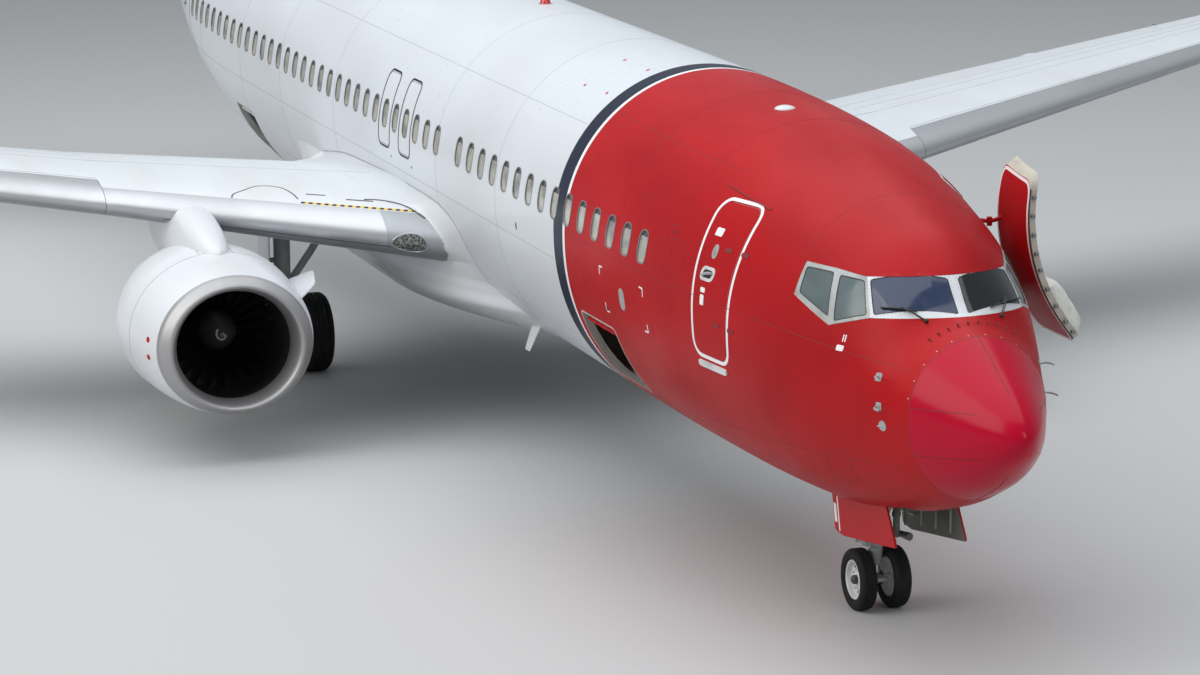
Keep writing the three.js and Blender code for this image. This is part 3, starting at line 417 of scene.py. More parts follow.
RED, CRIMSON = (0.43, 0.004, 0.007), (0.46, 0.000, 0.022)
WHITE, NAVY = (0.67, 0.70, 0.74), (0.006, 0.010, 0.030)
red = finish("red paint", RED, 0.30, dirt=(0.24, 0.004, 0.006), amount=0.6, bump=0.06, gloss=0.14)
crimson = finish("nose cone paint", CRIMSON, 0.16, dirt=(0.3, 0.002, 0.012), amount=0.4, gloss=0.18)
white = finish("white paint", WHITE, 0.24, amount=0.14, coat=0.1, bump=0.05)
plain_white = finish("plain white paint", (0.68, 0.70, 0.73), 0.26, amount=0.18, coat=0.1, bump=0.03)
line_white = finish("white line paint", (0.85, 0.85, 0.86), 0.3, amount=0.06)
navy = finish("navy paint", NAVY, 0.3, amount=0.0, gloss=0.3)
dark_line = finish("sealant line", (0.09, 0.09, 0.1), 0.6)
red_line = finish("red seam", (0.2, 0.004, 0.008), 0.5)
grey_line = finish("grey seam", (0.34, 0.36, 0.38), 0.5)
wing_grey = finish("wing paint", (0.66, 0.69, 0.72), 0.3, amount=0.22, dirt=(0.40, 0.39, 0.37), scale=1.4)
bare = finish("bare leading edge", (0.50, 0.51, 0.53), 0.30, metal=0.85, amount=0.35,
              dirt=(0.36, 0.36, 0.36), grain=(60, 1, 60))
root_metal = finish("wing root edge", (0.36, 0.38, 0.40), 0.34, metal=0.55, amount=0.3, grain=(60, 1, 60))
lip_metal = finish("bare inlet lip", (0.40, 0.395, 0.40), 0.34, metal=0.8, amount=0.4,
                   dirt=(0.28, 0.27, 0.26), grain=(60, 1, 1))
steel = finish("dark steel", (0.25, 0.25, 0.26), 0.3, metal=1.0, amount=0.3, grain=(8, 40, 40))
fan_steel = finish("fan blades", (0.035, 0.035, 0.038), 0.32, metal=0.9, amount=0.3, grain=(8, 40, 40))
spinner_paint = finish("spinner paint", (0.028, 0.03, 0.034), 0.3, coat=0.4)
hot = finish("heated metal", (0.34, 0.3, 0.27), 0.35, metal=1.0, amount=0.5, dirt=(0.12, 0.1, 0.09))
duct = finish("acoustic lining", (0.016, 0.015, 0.015), 0.6, amount=0.2, gloss=0.25)
# The legs' paint is darkened to paint the shade that falls on them under the body and the wings.
shaded_gear_paint = finish("gear paint darkened for shade", (0.40, 0.41, 0.40), 0.4, amount=0.45, dirt=(0.12, 0.11, 0.1), scale=6.0)
gear_steel = finish("polished ram", (0.7, 0.7, 0.71), 0.12, metal=1.0, amount=0.2, scale=8.0)
rim_grey = finish("rim paint", (0.66, 0.67, 0.67), 0.4, amount=0.35, dirt=(0.1, 0.09, 0.08), scale=9.0)
rubber = finish("tyre rubber", (0.009, 0.009, 0.009), 0.72, amount=0.3, dirt=(0.05, 0.046, 0.042), scale=7.0,
                bump=0.1, gloss=0.3)
frame_paint = finish("window frame paint", (0.40, 0.42, 0.42), 0.42, metal=0.3, amount=0.4, scale=12.0,
                     bump=0.1)
# The right windshield's blue is a painted reflection of the sky; the left windshield is near black.
glass = finish("right windshield glass with painted sky reflection", (0.022, 0.036, 0.085), 0.03, amount=0.0)
dim_glass = finish("left windshield glass", (0.012, 0.015, 0.016), 0.03, amount=0.0)
side_glass = finish("side window glass", (0.11, 0.145, 0.15), 0.04, amount=0.6, dirt=(0.05, 0.07, 0.08),
                    scale=5.0)
swirl_paint = finish("swirl paint", (0.36, 0.34, 0.28), 0.5)
pane = finish("cabin window shade", (0.46, 0.44, 0.38), 0.28, amount=0.9, dirt=(0.10, 0.10, 0.10), scale=7.0,
              coat=0.9)
# The near-black glass over the top of each cabin window also paints the shadow under the recess's upper edge.
shadow_strip_glass = finish("dark glass with painted shadow", (0.02, 0.022, 0.026), 0.04, amount=0.0, coat=1.0)
rim = finish("cabin window rim", (0.30, 0.29, 0.28), 0.35, metal=0.7, amount=0.2)
lining = finish("cabin lining", (0.66, 0.62, 0.54), 0.55, amount=0.2, scale=3.0)
beige = finish("door frame paint", (0.5, 0.46, 0.39), 0.5, amount=0.4, scale=8.0, bump=0.06)
cloth = finish("slide cover", (0.72, 0.71, 0.66), 0.8, amount=0.25, scale=14.0, bump=0.25)
liner = finish("hold lining", (0.36, 0.38, 0.36), 0.5, amount=0.5, scale=3.0)
# This paint is darkened to paint the shade inside the wheel wells, on the inner faces of the nose gear doors
# and on the nose gear's jack.
shaded_bay_paint = finish("bay paint darkened for shade", (0.15, 0.15, 0.13), 0.5, amount=0.6, dirt=(0.07, 0.07, 0.06), scale=4.0)
black = finish("black rubber", (0.01, 0.01, 0.011), 0.5)
yellow = finish("yellow paint", (0.75, 0.48, 0.03), 0.4)
red_lamp = finish("red lamp", (0.55, 0.01, 0.01), 0.08, coat=1.0)
green_lamp = finish("green lamp", (0.01, 0.35, 0.12), 0.08, coat=1.0)
lamp = finish("lamp glass", (0.32, 0.34, 0.36), 0.05, metal=0.6, coat=1.0)
lamp_lens = finish("root lamp glass", (0.03, 0.035, 0.035), 0.15, metal=0.3, coat=0.6, amount=0.8, scale=60.0,
                   dirt=(0.5, 0.5, 0.46), bump=0.3)
seat_cloth = finish("pilot seat cloth", (0.05, 0.07, 0.11), 0.85, amount=0.3, scale=20.0, bump=0.3)
trim = finish("flight deck trim", (0.05, 0.055, 0.06), 0.6, scale=20.0, bump=0.1)
SLOTS = {
    "white_paint": (white, plain_white, line_white, grey_line), "red_paint": (red, navy, red_line, red_lamp),
    "wing_paint": (wing_grey, dark_line, yellow), "nose_cone": (crimson,), "hot_metal": (hot,),
    "bare_metal": (bare, steel, rim_grey, frame_paint, rim, beige), "tyre_rubber": (rubber,),
    "fan_metal": (fan_steel, spinner_paint, swirl_paint), "gear_paint": (shaded_gear_paint, gear_steel, shaded_bay_paint),
    "cockpit_glass": (glass, shadow_strip_glass, green_lamp, lamp, lamp_lens), "flight_deck_trim": (black, trim),
    "seat_cloth": (pane, lining, liner, cloth, seat_cloth),
}
slot_of.update({made.name: slot for slot, group_of in SLOTS.items() for made in group_of})
print(len(bpy.data.materials), "finishes")

# %% [markdown]
# ## The body
# The body is a tube whose section is an ellipse above its widest line and a slightly squarer curve
# below it. The stations below are the body's own: the crown, the keel, the half width and the
# height of the widest line. Between them a curve runs through each column, spaced by the square
# root of the distance from the tip, so that the nose closes in a round end and not a point.

# %% Body sections
BODY = np.array([
    # s, crown, keel, half width, waist
    (0.260, 2.755, 2.715, 0.018, 2.735), (0.290, 2.829, 2.660, 0.082, 2.738),
    (0.400, 2.954, 2.523, 0.202, 2.735), (0.650, 3.129, 2.321, 0.373, 2.732),
    (1.030, 3.340, 2.070, 0.562, 2.745), (1.480, 3.575, 1.865, 0.765, 2.785),
    (1.870, 3.754, 1.700, 0.911, 2.830), (2.210, 4.123, 1.589, 1.037, 2.880),
    (2.550, 4.384, 1.489, 1.154, 2.930), (3.000, 4.554, 1.398, 1.312, 2.985),
    (3.600, 4.732, 1.302, 1.470, 3.060), (4.300, 4.901, 1.245, 1.574, 3.160),
    (5.000, 5.042, 1.212, 1.668, 3.250), (6.000, 5.150, 1.197, 1.773, 3.315),
    (7.200, 5.222, 1.192, 1.845, 3.345), (8.500, 5.262, 1.195, 1.877, 3.360),
    (10.00, 5.280, 1.200, 1.885, 3.370), (10.40, 5.280, 1.200, 1.885, 3.370),
    (24.80, 5.280, 1.200, 1.885, 3.370), (25.50, 5.280, 1.200, 1.885, 3.370),
    (27.50, 5.275, 1.360, 1.860, 3.390), (29.50, 5.265, 1.740, 1.765, 3.450),
    (31.50, 5.250, 2.290, 1.545, 3.560), (33.50, 5.200, 2.890, 1.215, 3.760),
    (35.70, 5.080, 3.480, 0.815, 4.030), (37.45, 4.920, 3.940, 0.450, 4.300),
    (38.28, 4.790, 4.200, 0.250, 4.470),
])
TIP, NOSE_JOINT, NOSE_END, TAIL_END = 0.262, 1.48, 6.0, 38.28
LOWER = 2.1


def columns(table, at):
    """Every column of a table at new first-column values: cubic pieces whose slope at a row is the
    two neighbouring slopes, each weighted by the other's distance."""
    x, y = table[:, 0], table[:, 1:]
    gap = np.diff(x)[:, None]
    rate = np.diff(y, axis=0) / gap
    inner = (gap[:-1] * rate[1:] + gap[1:] * rate[:-1]) / (gap[:-1] + gap[1:])
    slope = np.concatenate([rate[:1], inner, rate[-1:]])
    at = np.atleast_1d(np.asarray(at, float))
    i = np.clip(np.searchsorted(x, at, "right") - 1, 0, len(x) - 2)
    t = np.clip((at - x[i]) / gap[i, 0], 0, 1)[:, None]
    a, b, m, n = y[i], y[i + 1], slope[i] * gap[i], slope[i + 1] * gap[i]
    return a + t * m + t**2 * (3 * (b - a) - 2 * m - n) + t**3 * (2 * (a - b) + m + n)


def body_rows(s):
    """Crown, keel, half width and waist at stations s."""
    root = BODY.copy()
    root[:, 0] = np.sqrt(BODY[:, 0] - 0.25)
    return columns(root, np.sqrt(np.maximum(np.atleast_1d(s) - 0.25, 0)))


def section(s):
    """Crown, keel, half width and waist at stations s, each in the shape of s."""
    return [column.reshape(s.shape) for column in body_rows(s.ravel()).T]


def skin(s, turn, grow=0.0):
    """Points of the skin at stations s and angles turn, from port over the crown: y is the half
    width times cos to a power, z the height times sin to that power, the power 1 above the waist."""
    s, turn = np.broadcast_arrays(np.atleast_1d(s).astype(float), np.asarray(turn, float))
    crown, keel, half, waist = section(s)
    c, d = np.cos(turn), np.sin(turn)
    power = np.where(d < 0, 2 / LOWER, 1.0)
    tall = np.where(d < 0, waist - keel, crown - waist) + grow
    return np.stack([s, (half + grow) * bent(c, power), waist + tall * bent(d, power)], -1)


def level(points):
    """How far points lie outside the skin, as a share of its size: the two powers' sum, less 1."""
    s, y, z = np.moveaxis(np.asarray(points, float), -1, 0)
    crown, keel, half, waist = section(np.clip(s, TIP, TAIL_END))
    above = z > waist
    tall, power = np.where(above, crown - waist, waist - keel), np.where(above, 2.0, LOWER)
    return (np.abs(y) / half) ** power + (np.abs(z - waist) / tall) ** power - 1


def gradient(points):
    """The slope of the level in s, y and z, by small steps to each side."""
    points, step = np.asarray(points, float), 0.004
    moves = np.eye(3) * step
    return np.stack([level(points + m) - level(points - m) for m in moves], -1) / (2 * step)


def facing(points):
    """The skin's outward direction."""
    return unit(gradient(points))


def lay(s, z, side, grow=0.0):
    """Points on one side of the skin at stations and heights, by solving its section for y."""
    s, z = np.broadcast_arrays(np.asarray(s, float), np.asarray(z, float))
    crown, keel, half, waist = section(s)
    above = z > waist
    tall, power = np.where(above, crown - waist, waist - keel) + grow, np.where(above, 2.0, LOWER)
    t = np.clip(np.abs(z - waist) / tall, 0, 1)
    return np.stack([s, side * (half + grow) * (1 - t**power) ** (1 / power), z], -1)


def hull(start, stop, grow=0.0, around=192, most=0.12):
    """The body between two stations, its skin moved out by grow."""
    low, high = math.sqrt(start - 0.25), math.sqrt(stop - 0.25)
    count = max(3, int((stop - start) / most) + 2)
    even = np.linspace(start, stop, count)
    tip = np.linspace(low, high, 26 if start < 1 else 2) ** 2 + 0.25
    stations = np.unique(np.concatenate([even, tip]))
    return rings_to_part(skin(stations[:, None], circle(around)[None], grow))


print("body at the wing, crown to keel:", np.round(body_rows(18.0)[0], 3))

# %% [markdown]
# The body's paint changes along its length, and paint edges on an airliner are masked and crisp. So
# the skin is made in lengths: a glossy nose cone, red, a white line, a navy band and white. They
# share one formula, so the joints don't show. A mask in one material would blur at a distance.

# %% Door, window and hold sizes
ENTRY = dict(s=4.95, width=0.86, sill=2.79, head=4.62, radius=0.13)
SERVICE = dict(s=4.95, width=0.78, sill=2.78, head=4.44, radius=0.14)
REAR = dict(s=30.95, width=0.76, sill=2.79, head=4.44, radius=0.11)
EXITS = {"front": dict(s=16.432, width=0.52, sill=3.27, head=4.24, radius=0.09),
         "rear": dict(s=17.448, width=0.52, sill=3.27, head=4.24, radius=0.09)}
HOLD_DOORS = {"forward": dict(s=8.56, width=1.22, sill=1.72, head=2.5, radius=0.07),
              "aft": dict(s=26.4, width=1.22, sill=1.72, head=2.5, radius=0.07)}
FLOOR, WALL, HOLD_HALF, FAR = 2.79, 0.09, 1.5, 3.0
LENGTHS = [("nose_skin", red, NOSE_END), ("forward_skin", red, 9.36), ("paint_line", line_white, 9.44),
           ("navy_band", navy, 9.79), ("cabin_skin", white, TAIL_END)]
WINDOW_Z, WINDOW_PITCH, WINDOW_SIZE = 3.694, 0.508, (0.25, 0.37)
GLAZING = [(1.60, 3.705), (1.80, 3.715), (2.29, 3.67), (2.745, 3.531), (3.375, 3.752), (3.43, 4.085),
           (2.985, 4.076), (2.613, 4.048), (2.18, 4.088), (1.60, 4.088)]


def outline(door, gap=0.0):
    """A door's outline in s and z."""
    size = (door["width"] - 2 * gap, door["head"] - door["sill"] - 2 * gap)
    return rounded((door["s"], (door["head"] + door["sill"]) / 2), size, door["radius"] - gap)


def through(sz, side, near=0.1):
    """A prism across the body over an outline in s and z, on one side or, for side 0, on both."""
    low, high = (-FAR, FAR) if side == 0 else sorted((side * near, side * FAR))
    sz = np.asarray(sz)
    ring = np.stack([sz[:, 0], np.zeros(len(sz)), sz[:, 1]], -1)
    return rings_to_part(np.stack([ring + (0, low, 0), ring + (0, high, 0)]))


def window_stations():
    """The cabin windows' stations on each side: an even pitch, with the gaps where a frame or an
    exit stands in for a window."""
    row = 6.782 + WINDOW_PITCH * np.arange(47)
    return [s for k, s in enumerate(row) if k not in (15, 19, 21)]


def window_outline(s, grow=0.0):
    """A cabin window's outline: a superellipse of power 3, taller than it is wide."""
    turn = circle(24)
    half, tall = WINDOW_SIZE[0] / 2 + grow, WINDOW_SIZE[1] / 2 + grow
    return np.stack([s + half * bent(np.cos(turn), 2 / 3), WINDOW_Z + tall * bent(np.sin(turn), 2 / 3)], -1)


windows = window_stations()
print(len(windows), "cabin windows a side, and one in each overwing exit")

# %% [markdown]
# Openings are cut from the solid skin with closed tools of the same formula: a smaller hull makes
# the cabin and the holds, and prisms make the doorways, the window recesses and the nose wheel bay.

# %% Skin lengths and their openings
def part_of(obj):
    """An object's mesh as a part in airframe axes, and the object taken away."""
    mesh = obj.data
    mesh.calc_loop_triangles()
    verts, faces = np.zeros(len(mesh.vertices) * 3), np.zeros(len(mesh.loop_triangles) * 3, np.int32)
    mesh.vertices.foreach_get("co", verts)
    mesh.loop_triangles.foreach_get("vertices", faces)
    part = airframe(verts.reshape(-1, 3)), faces.reshape(-1, 3)
    bpy.data.objects.remove(obj)
    bpy.data.meshes.remove(mesh)
    return part


cabin = solid("cabin_tool", hull(1.8, 5.88, -WALL, 96))
carve(cabin, box_part((0, NOSE_END), (-3, 3), (0, FLOOR), 0))
carve(cabin, box_part((4.15, 4.23), (-3, 3), (0, 6), 0))
cabin = part_of(cabin)
hold_rooms = {}
for name, door in HOLD_DOORS.items():
    room = solid("hold_tool", hull(door["s"] - HOLD_HALF, door["s"] + HOLD_HALF, -WALL, 96))
    carve(room, box_part((door["s"] - 2, door["s"] + 2), (-3, 3), (1.7, 2.7), 0), "INTERSECT")
    hold_rooms[name] = part_of(room)
bay = box_part((2.48, 4.75), (-0.37, 0.37), (0.5, 2.3), 0)
WELL_S, WELL_Y, WELL_RADIUS = 19.78, 0.79, 0.64
well = [lathe([(WELL_RADIUS, 0), (WELL_RADIUS, 1.4)], (WELL_S, side * WELL_Y, 0.5), (0, 0, 1), 40)
        for side in (1, -1)]
RECESS = 0.028


def window_recess(s, side):
    """A shallow tool that cuts one window's recess into the skin, its floor as curved as the skin."""
    on = lay(*window_outline(s).T, side)
    out = facing(on)
    return rings_to_part(np.stack([on - RECESS * out, on + RECESS * out]))


make("nose_cone", hull(TIP, NOSE_JOINT - 0.0015, around=160), crimson, replaces=["radome"])
start = NOSE_JOINT
for name, coating, stop in LENGTHS:
    replaced = {"nose_skin": ["nose_section"], "cabin_skin": ["fuselage"]}.get(name, [])
    length = make(name, hull(start, stop, most=0.12 if stop < 10 else 0.3), coating, replaces=replaced)
    if name == "nose_skin":
        carve(length, cabin)
        carve(length, bay)
        carve(length, [through(GLAZING, 0), box_part((4.14, 4.24), (-0.31, 0.31), (FLOOR, 4.6), 0)])
        carve(length, [through(outline(ENTRY), 1), through(outline(SERVICE), -1)])
    for key, door in HOLD_DOORS.items():
        if start < door["s"] + HOLD_HALF and stop > door["s"] - HOLD_HALF:
            carve(length, hold_rooms[key])
            carve(length, through(outline(door), -1, 0.7))
    chosen = [s for s in windows if start - 0.2 < s < stop + 0.2]
    if chosen:
        carve(length, [window_recess(s, side) for s in chosen for side in (1, -1)])
    if name == "cabin_skin":
        for tool in well:
            carve(length, tool)
        for side in (1, -1):
            carve(length, [through(outline(d), side, 1.5) for d in EXITS.values()]
                  + [through(outline(REAR), side, 1.3)])
    middle, _ = centres(length)
    paint(length, lining if name == "nose_skin" else liner, level(middle) < -0.012)
    print(name, len(length.data.polygons), "faces")
    start = stop
# %% [markdown]
# ## Marks and small fittings on the skin
# Painted lines, seams, gaskets and rivets lie on a doubly curved skin. Each is laid down in two
# steps: an outline with round corners is spaced out evenly, then each point walks along the skin's
# slope until it is on it. A decal texture would be lighter, but it would swim at the mesh's edges.

# %% Outlines on the skin
def onto(points, grow=0.0):
    """Points moved onto the skin by Newton steps along the slope, then out by grow."""
    points = np.array(points, float)
    for _ in range(5):
        slope = gradient(points)
        size = np.maximum(np.einsum("...i,...i->...", slope, slope), 1e-9)
        points -= slope * (level(points) / size)[..., None]
    return points + facing(points) * grow


def evenly(path, step=0.03, closed=True):
    """A path's points at one spacing along it."""
    path = np.asarray(path, float)
    ring = np.concatenate([path, path[:1]]) if closed else path
    along = np.concatenate([[0], np.cumsum(np.linalg.norm(np.diff(ring, axis=0), axis=1))])
    at = np.linspace(0, along[-1], max(8, int(along[-1] / step)), endpoint=not closed)
    return np.stack([np.interp(at, along, column) for column in ring.T], -1)


def soft_corners(corners, radius):
    """A closed outline whose corners are parabolas that start and end one radius away from them."""
    corners = np.asarray(corners, float)
    start = corners + unit(np.roll(corners, 1, 0) - corners) * radius
    stop = corners + unit(np.roll(corners, -1, 0) - corners) * radius
    t = np.linspace(0, 1, 6)[None, :, None]
    out = (1 - t) ** 2 * start[:, None] + 2 * t * (1 - t) * corners[:, None] + t**2 * stop[:, None]
    return out.reshape(-1, corners.shape[1])


def mark(path, width, closed=True, proud=0.0012, step=0.03):
    """A painted line on the skin along a path."""
    on = onto(evenly(path, step, closed))
    return ribbon(on, facing(on), width, proud, 0.003, closed)


def patch(path, proud=0.0015, step=0.03):
    """A flat plate on the skin inside a closed outline: a prism from just under it to just above."""
    on = onto(evenly(path, step))
    out = facing(on)
    return rings_to_part(np.stack([on - 0.004 * out, on + proud * out]))


def plate_on(s, z, side, size, radius=0.01, proud=0.002, lean=0.0):
    """A small plate of a given length and height on one side of the body, leaning if asked."""
    flat = rounded((0, 0), size, min(radius, 0.45 * min(size)))
    turned = np.stack([flat[:, 0] + lean * flat[:, 1], flat[:, 1]], -1) + (s, z)
    return patch(lay(turned[:, 0], turned[:, 1], side), proud, min(0.02, 0.3 * min(size)))


def scatter(part, places, normals, forward=(1.0, 0.0, 0.0)):
    """Copies of a small part: its own z goes along each normal, its x as near forward as it can."""
    verts, faces = part
    places = np.asarray(places, float)
    normals = np.broadcast_to(unit(np.asarray(normals, float)), places.shape)
    across = unit(np.cross(normals, np.broadcast_to(forward, places.shape)))
    ahead = np.cross(across, normals)
    moved = (places[:, None] + verts[None, :, :1] * ahead[:, None] + verts[None, :, 1:2] * across[:, None]
             + verts[None, :, 2:] * normals[:, None])
    index = faces[None] + len(verts) * np.arange(len(places))[:, None, None]
    return moved.reshape(-1, 3), index.reshape(-1, 3)


stud = lathe([(0.006, -0.003), (0.006, 0.0005), (0.003, 0.002)], (0, 0, 0), (0, 0, 1), 6)
print("a stud has", len(stud[1]), "faces")

# %% [markdown]
# ## Flight deck windows
# Six panes sit in a heavy riveted frame: two windshields, and on each side a sliding window and a
# fixed one behind it. The frame is a thin shell of the body's own formula, kept inside the band and
# cut by one prism for each pane, square to the skin at the pane's middle. One more prism splits it
# into its white front and its grey sides. The panes are thinner shells kept inside the same prisms,
# a little smaller, and a black seal runs round each.

# %% Panes
PANES = [  # corners on the starboard side, in s, y and z
    [(2.540, -0.755, 4.022), (2.150, -0.055, 4.055), (1.850, -0.055, 3.741), (2.276, -0.822, 3.703)],
    [(2.902, -0.940, 4.020), (2.583, -0.793, 4.006), (2.349, -0.870, 3.694), (2.701, -1.095, 3.580)],
    [(3.388, -1.120, 4.036), (2.994, -0.972, 4.035), (2.795, -1.120, 3.612), (3.318, -1.236, 3.782)],
]
PANE_RADIUS, PANE_DEPTH, SEAL = 0.026, 0.22, 0.007


def pane_outline(corners, inset):
    """A pane's rounded outline, drawn in towards its middle by an inset."""
    outline_points = soft_corners(corners, PANE_RADIUS)
    out = outline_points - outline_points.mean(0)
    return outline_points - unit(out) * inset


def pane_tool(corners, inset):
    """A prism through the skin over a pane, along the skin's outward direction at its middle."""
    ring = pane_outline(corners, inset)
    direction = facing(onto(ring.mean(0)[None]))[0]
    return prism(ring, direction, -PANE_DEPTH, PANE_DEPTH)


sides = [np.array(pane) * (1, flip, 1) for pane in PANES for flip in (1, -1)]
band = np.array(GLAZING)
band = band + 0.004 * unit(band.mean(0) - band)
ahead_corners = [(1.2, -1.161, 0), (3.8, -0.423, 0), (3.8, 0.423, 0), (1.2, 1.161, 0)]
ahead_zone = prism(ahead_corners, (0, 0, 1), 2.0, 6.0)
for part_name, coating, mode in (("windshield_frame", plain_white, "INTERSECT"),
                                 ("side_window_frames", frame_paint, "DIFFERENCE")):
    glazing_frame = make(part_name, hull(1.4, 3.6, -0.003), coating)
    carve(glazing_frame, hull(1.3, 3.7, -0.05))
    carve(glazing_frame, through(band, 0), "INTERSECT")
    carve(glazing_frame, ahead_zone, mode)
    for tool in sides:
        carve(glazing_frame, pane_tool(tool, 0))

panes = make("flight_deck_panes", hull(1.4, 3.6, -0.006), glass, replaces=["flight_deck_windows"])
carve(panes, hull(1.3, 3.7, -0.028))
carve(panes, [pane_tool(tool, SEAL) for tool in sides], "INTERSECT")
middle, _ = centres(panes)
# The left windshield is near black, and the right keeps the blue of its painted sky reflection.
paint(panes, dim_glass, (middle[:, 0] < 2.56) & (middle[:, 1] > 0))
paint(panes, side_glass, np.abs(middle[:, 1]) + 0.284 * (middle[:, 0] - 2.56) > 0.775)
seals = [tube(onto(evenly(pane_outline(tool, 0.003), 0.03), -0.007), 0.0065, 8, True) for tool in sides]
make("flight_deck_seals", seals, black)
rows = np.concatenate([onto(evenly(pane_outline(tool, -0.024), 0.042), -0.003) for tool in sides])
make("flight_deck_rivets", scatter(stud, rows, facing(rows)), frame_paint)
print(len(rows), "rivets round the panes")

# %% [markdown]
# A windshield wiper is two arms side by side that carry a rubber blade on a light bow. All are thin
# tubes and strips that stand a finger above the glass.

# %% Wipers
WIPERS = [  # pivot, arm's end and the blade's two ends, in s and y, on the windshield
    dict(pivot=(1.889, -0.399), arm=(2.102, -0.586), blade=((2.245, -0.748), (1.999, -0.455))),
    dict(pivot=(1.903, 0.438), arm=(2.099, 0.555), blade=((1.940, 0.331), (2.320, 0.823))),
]


def crown_at(s, y, grow=0.0):
    """The point on the upper skin over a place s, y, raised by grow."""
    crown, keel, half, waist = body_rows(s)[0]
    z = waist + (crown - waist) * math.sqrt(max(0.0, 1 - (y / half) ** 2))
    return onto(np.array([[s, y, z]]), grow)[0]


wiper_parts = []
for item in WIPERS:
    pivot, arm = crown_at(*item["pivot"], 0.012), crown_at(*item["arm"], 0.03)
    lift = 0.010 * facing(onto(pivot[None]))[0]
    wiper_parts.append(lathe([(0.022, -0.012), (0.022, 0.012), (0.012, 0.024)], pivot, lift, 16))
    for shift in (-0.008, 0.008):
        bend = (pivot + arm) / 2 + 1.6 * lift
        path = spline([pivot + (0, shift, 0), bend + (0, shift, 0), arm + (0, shift, 0)], 6)
        wiper_parts.append(tube(path, 0.005, 8))
    ends = [crown_at(*end) for end in item["blade"]]
    on = onto(evenly(ends, 0.03, False))
    wiper_parts.append(tube(on + 0.022 * facing(on), 0.007, 8))
    wiper_parts.append(ribbon(on, np.cross(facing(on), np.gradient(on, axis=0)), 0.04, 0.003, 0.003, False))
make("windshield_wipers", wiper_parts, black)

# %% [markdown]
# ## Cabin windows
# Each window is a shallow recess with a dark metal rim. In it lies a pale shade, with a strip of near-black
# glass above it that also paints the shadow under the recess's upper edge. Both are slabs as curved as the
# skin, cut from one outline by a height. The rim is a strip carried round the outline on the skin.

# %% Rims, shades and glass
SHADE_TOP = WINDOW_Z + 0.118


def window_slab(s, side, low, high, deep=0.026, top=0.012):
    """The part of a window's pane between two heights, a slab that follows the skin."""
    ring = window_outline(s, -0.004)
    ring[:, 1] = np.clip(ring[:, 1], low, high)
    on = lay(ring[:, 0], ring[:, 1], side)
    out = facing(on)
    return rings_to_part(np.stack([on - deep * out, on - top * out]))


def window_rim(s, side, width=0.017):
    """The strip round a window."""
    ring = window_outline(s, 0.003)
    on = lay(ring[:, 0], ring[:, 1], side)
    return ribbon(on, facing(on), width, 0.0025, 0.029, True)


places = [(s, side) for s in windows for side in (1, -1)]
make("cabin_window_rims", [window_rim(*at) for at in places], rim)
make("cabin_window_shades", [window_slab(*at, 0, SHADE_TOP) for at in places], pane)
# Over each pale shade, near-black glass that also paints the shadow under the recess's upper edge.
make("cabin_window_glass", [window_slab(*at, SHADE_TOP, 9, top=0.015) for at in places], shadow_strip_glass)
print(len(places), "cabin windows in all")

# %% [markdown]
# ## Doors
# A passenger door is a thick curved plug. Closed ones lie flush, so what shows is a thin gap, the
# painted outline round it, and a few fittings. Each is the body's own shell kept inside the
# doorway's outline, drawn in by the gap. The open entry door is made closed in the same way and
# then turned forward about its leaning hinge line, as the real one swings.

# %% Door panels
DOOR_GAP, DOOR_DEEP = 0.005, 0.09


def door_panel(name, door, side, finish_out, near):
    """A door: a shell of the skin inside its outline, its inner and side faces in another paint."""
    span = door["width"] / 2 + 0.2
    shell = hull(door["s"] - span, door["s"] + span)
    panel_object = make(name + "_panel", shell, finish_out, replaces=[name])
    carve(panel_object, hull(door["s"] - span - 0.1, door["s"] + span + 0.1, -DOOR_DEEP))
    carve(panel_object, through(outline(door, DOOR_GAP), side, near), "INTERSECT")
    middle, _ = centres(panel_object)
    paint(panel_object, beige, level(middle) < -0.004)
    return panel_object


def door_line(door, side, width, away):
    """The painted outline round a door."""
    ring = outline(door, -away)
    return mark(lay(ring[:, 0], ring[:, 1], side), width, step=0.05)


def sill_plate(door, side):
    """The scuff plate under a door's sill."""
    return plate_on(door["s"], door["sill"] - 0.11, side, (door["width"] * 0.86, 0.07), 0.03, 0.02)


def handle(side, s, z):
    """A handle in its dish: an oval plate, a black plate inside it that paints the shade deep in the dish,
    and a lever across them.
    """
    dish = plate_on(s, z, side, (0.30, 0.16), 0.07, 0.003, -0.3)
    dish_shade = plate_on(s, z, side, (0.20, 0.09), 0.04, 0.004, -0.3)
    bar_s, bar_z = s + np.array([-0.11, 0, 0.10]), z + np.array([0.02, 0.005, -0.025])
    ends = onto(lay(bar_s, bar_z, side), 0.016)
    return [dish, dish_shade, tube(spline(ends, 5), 0.016, 8)]


door_panel("front_service_door", SERVICE, -1, red, 0.8)
door_panel("rear_entry_door", REAR, 1, plain_white, 0.6)
door_panel("rear_service_door", REAR, -1, plain_white, 0.6)
make("service_door_line", door_line(SERVICE, -1, 0.042, 0.024), line_white)
make("rear_door_lines", [door_line(REAR, side, 0.03, 0.03) for side in (1, -1)], navy)
make("entry_door_line", door_line(ENTRY, 1, 0.042, 0.024), line_white)
dishes, dish_shades, levers = zip(handle(-1, 5.07, 3.682), handle(1, 31.12, 3.62), handle(-1, 31.12, 3.62))
make("door_handle_dishes", list(dishes), rim_grey)
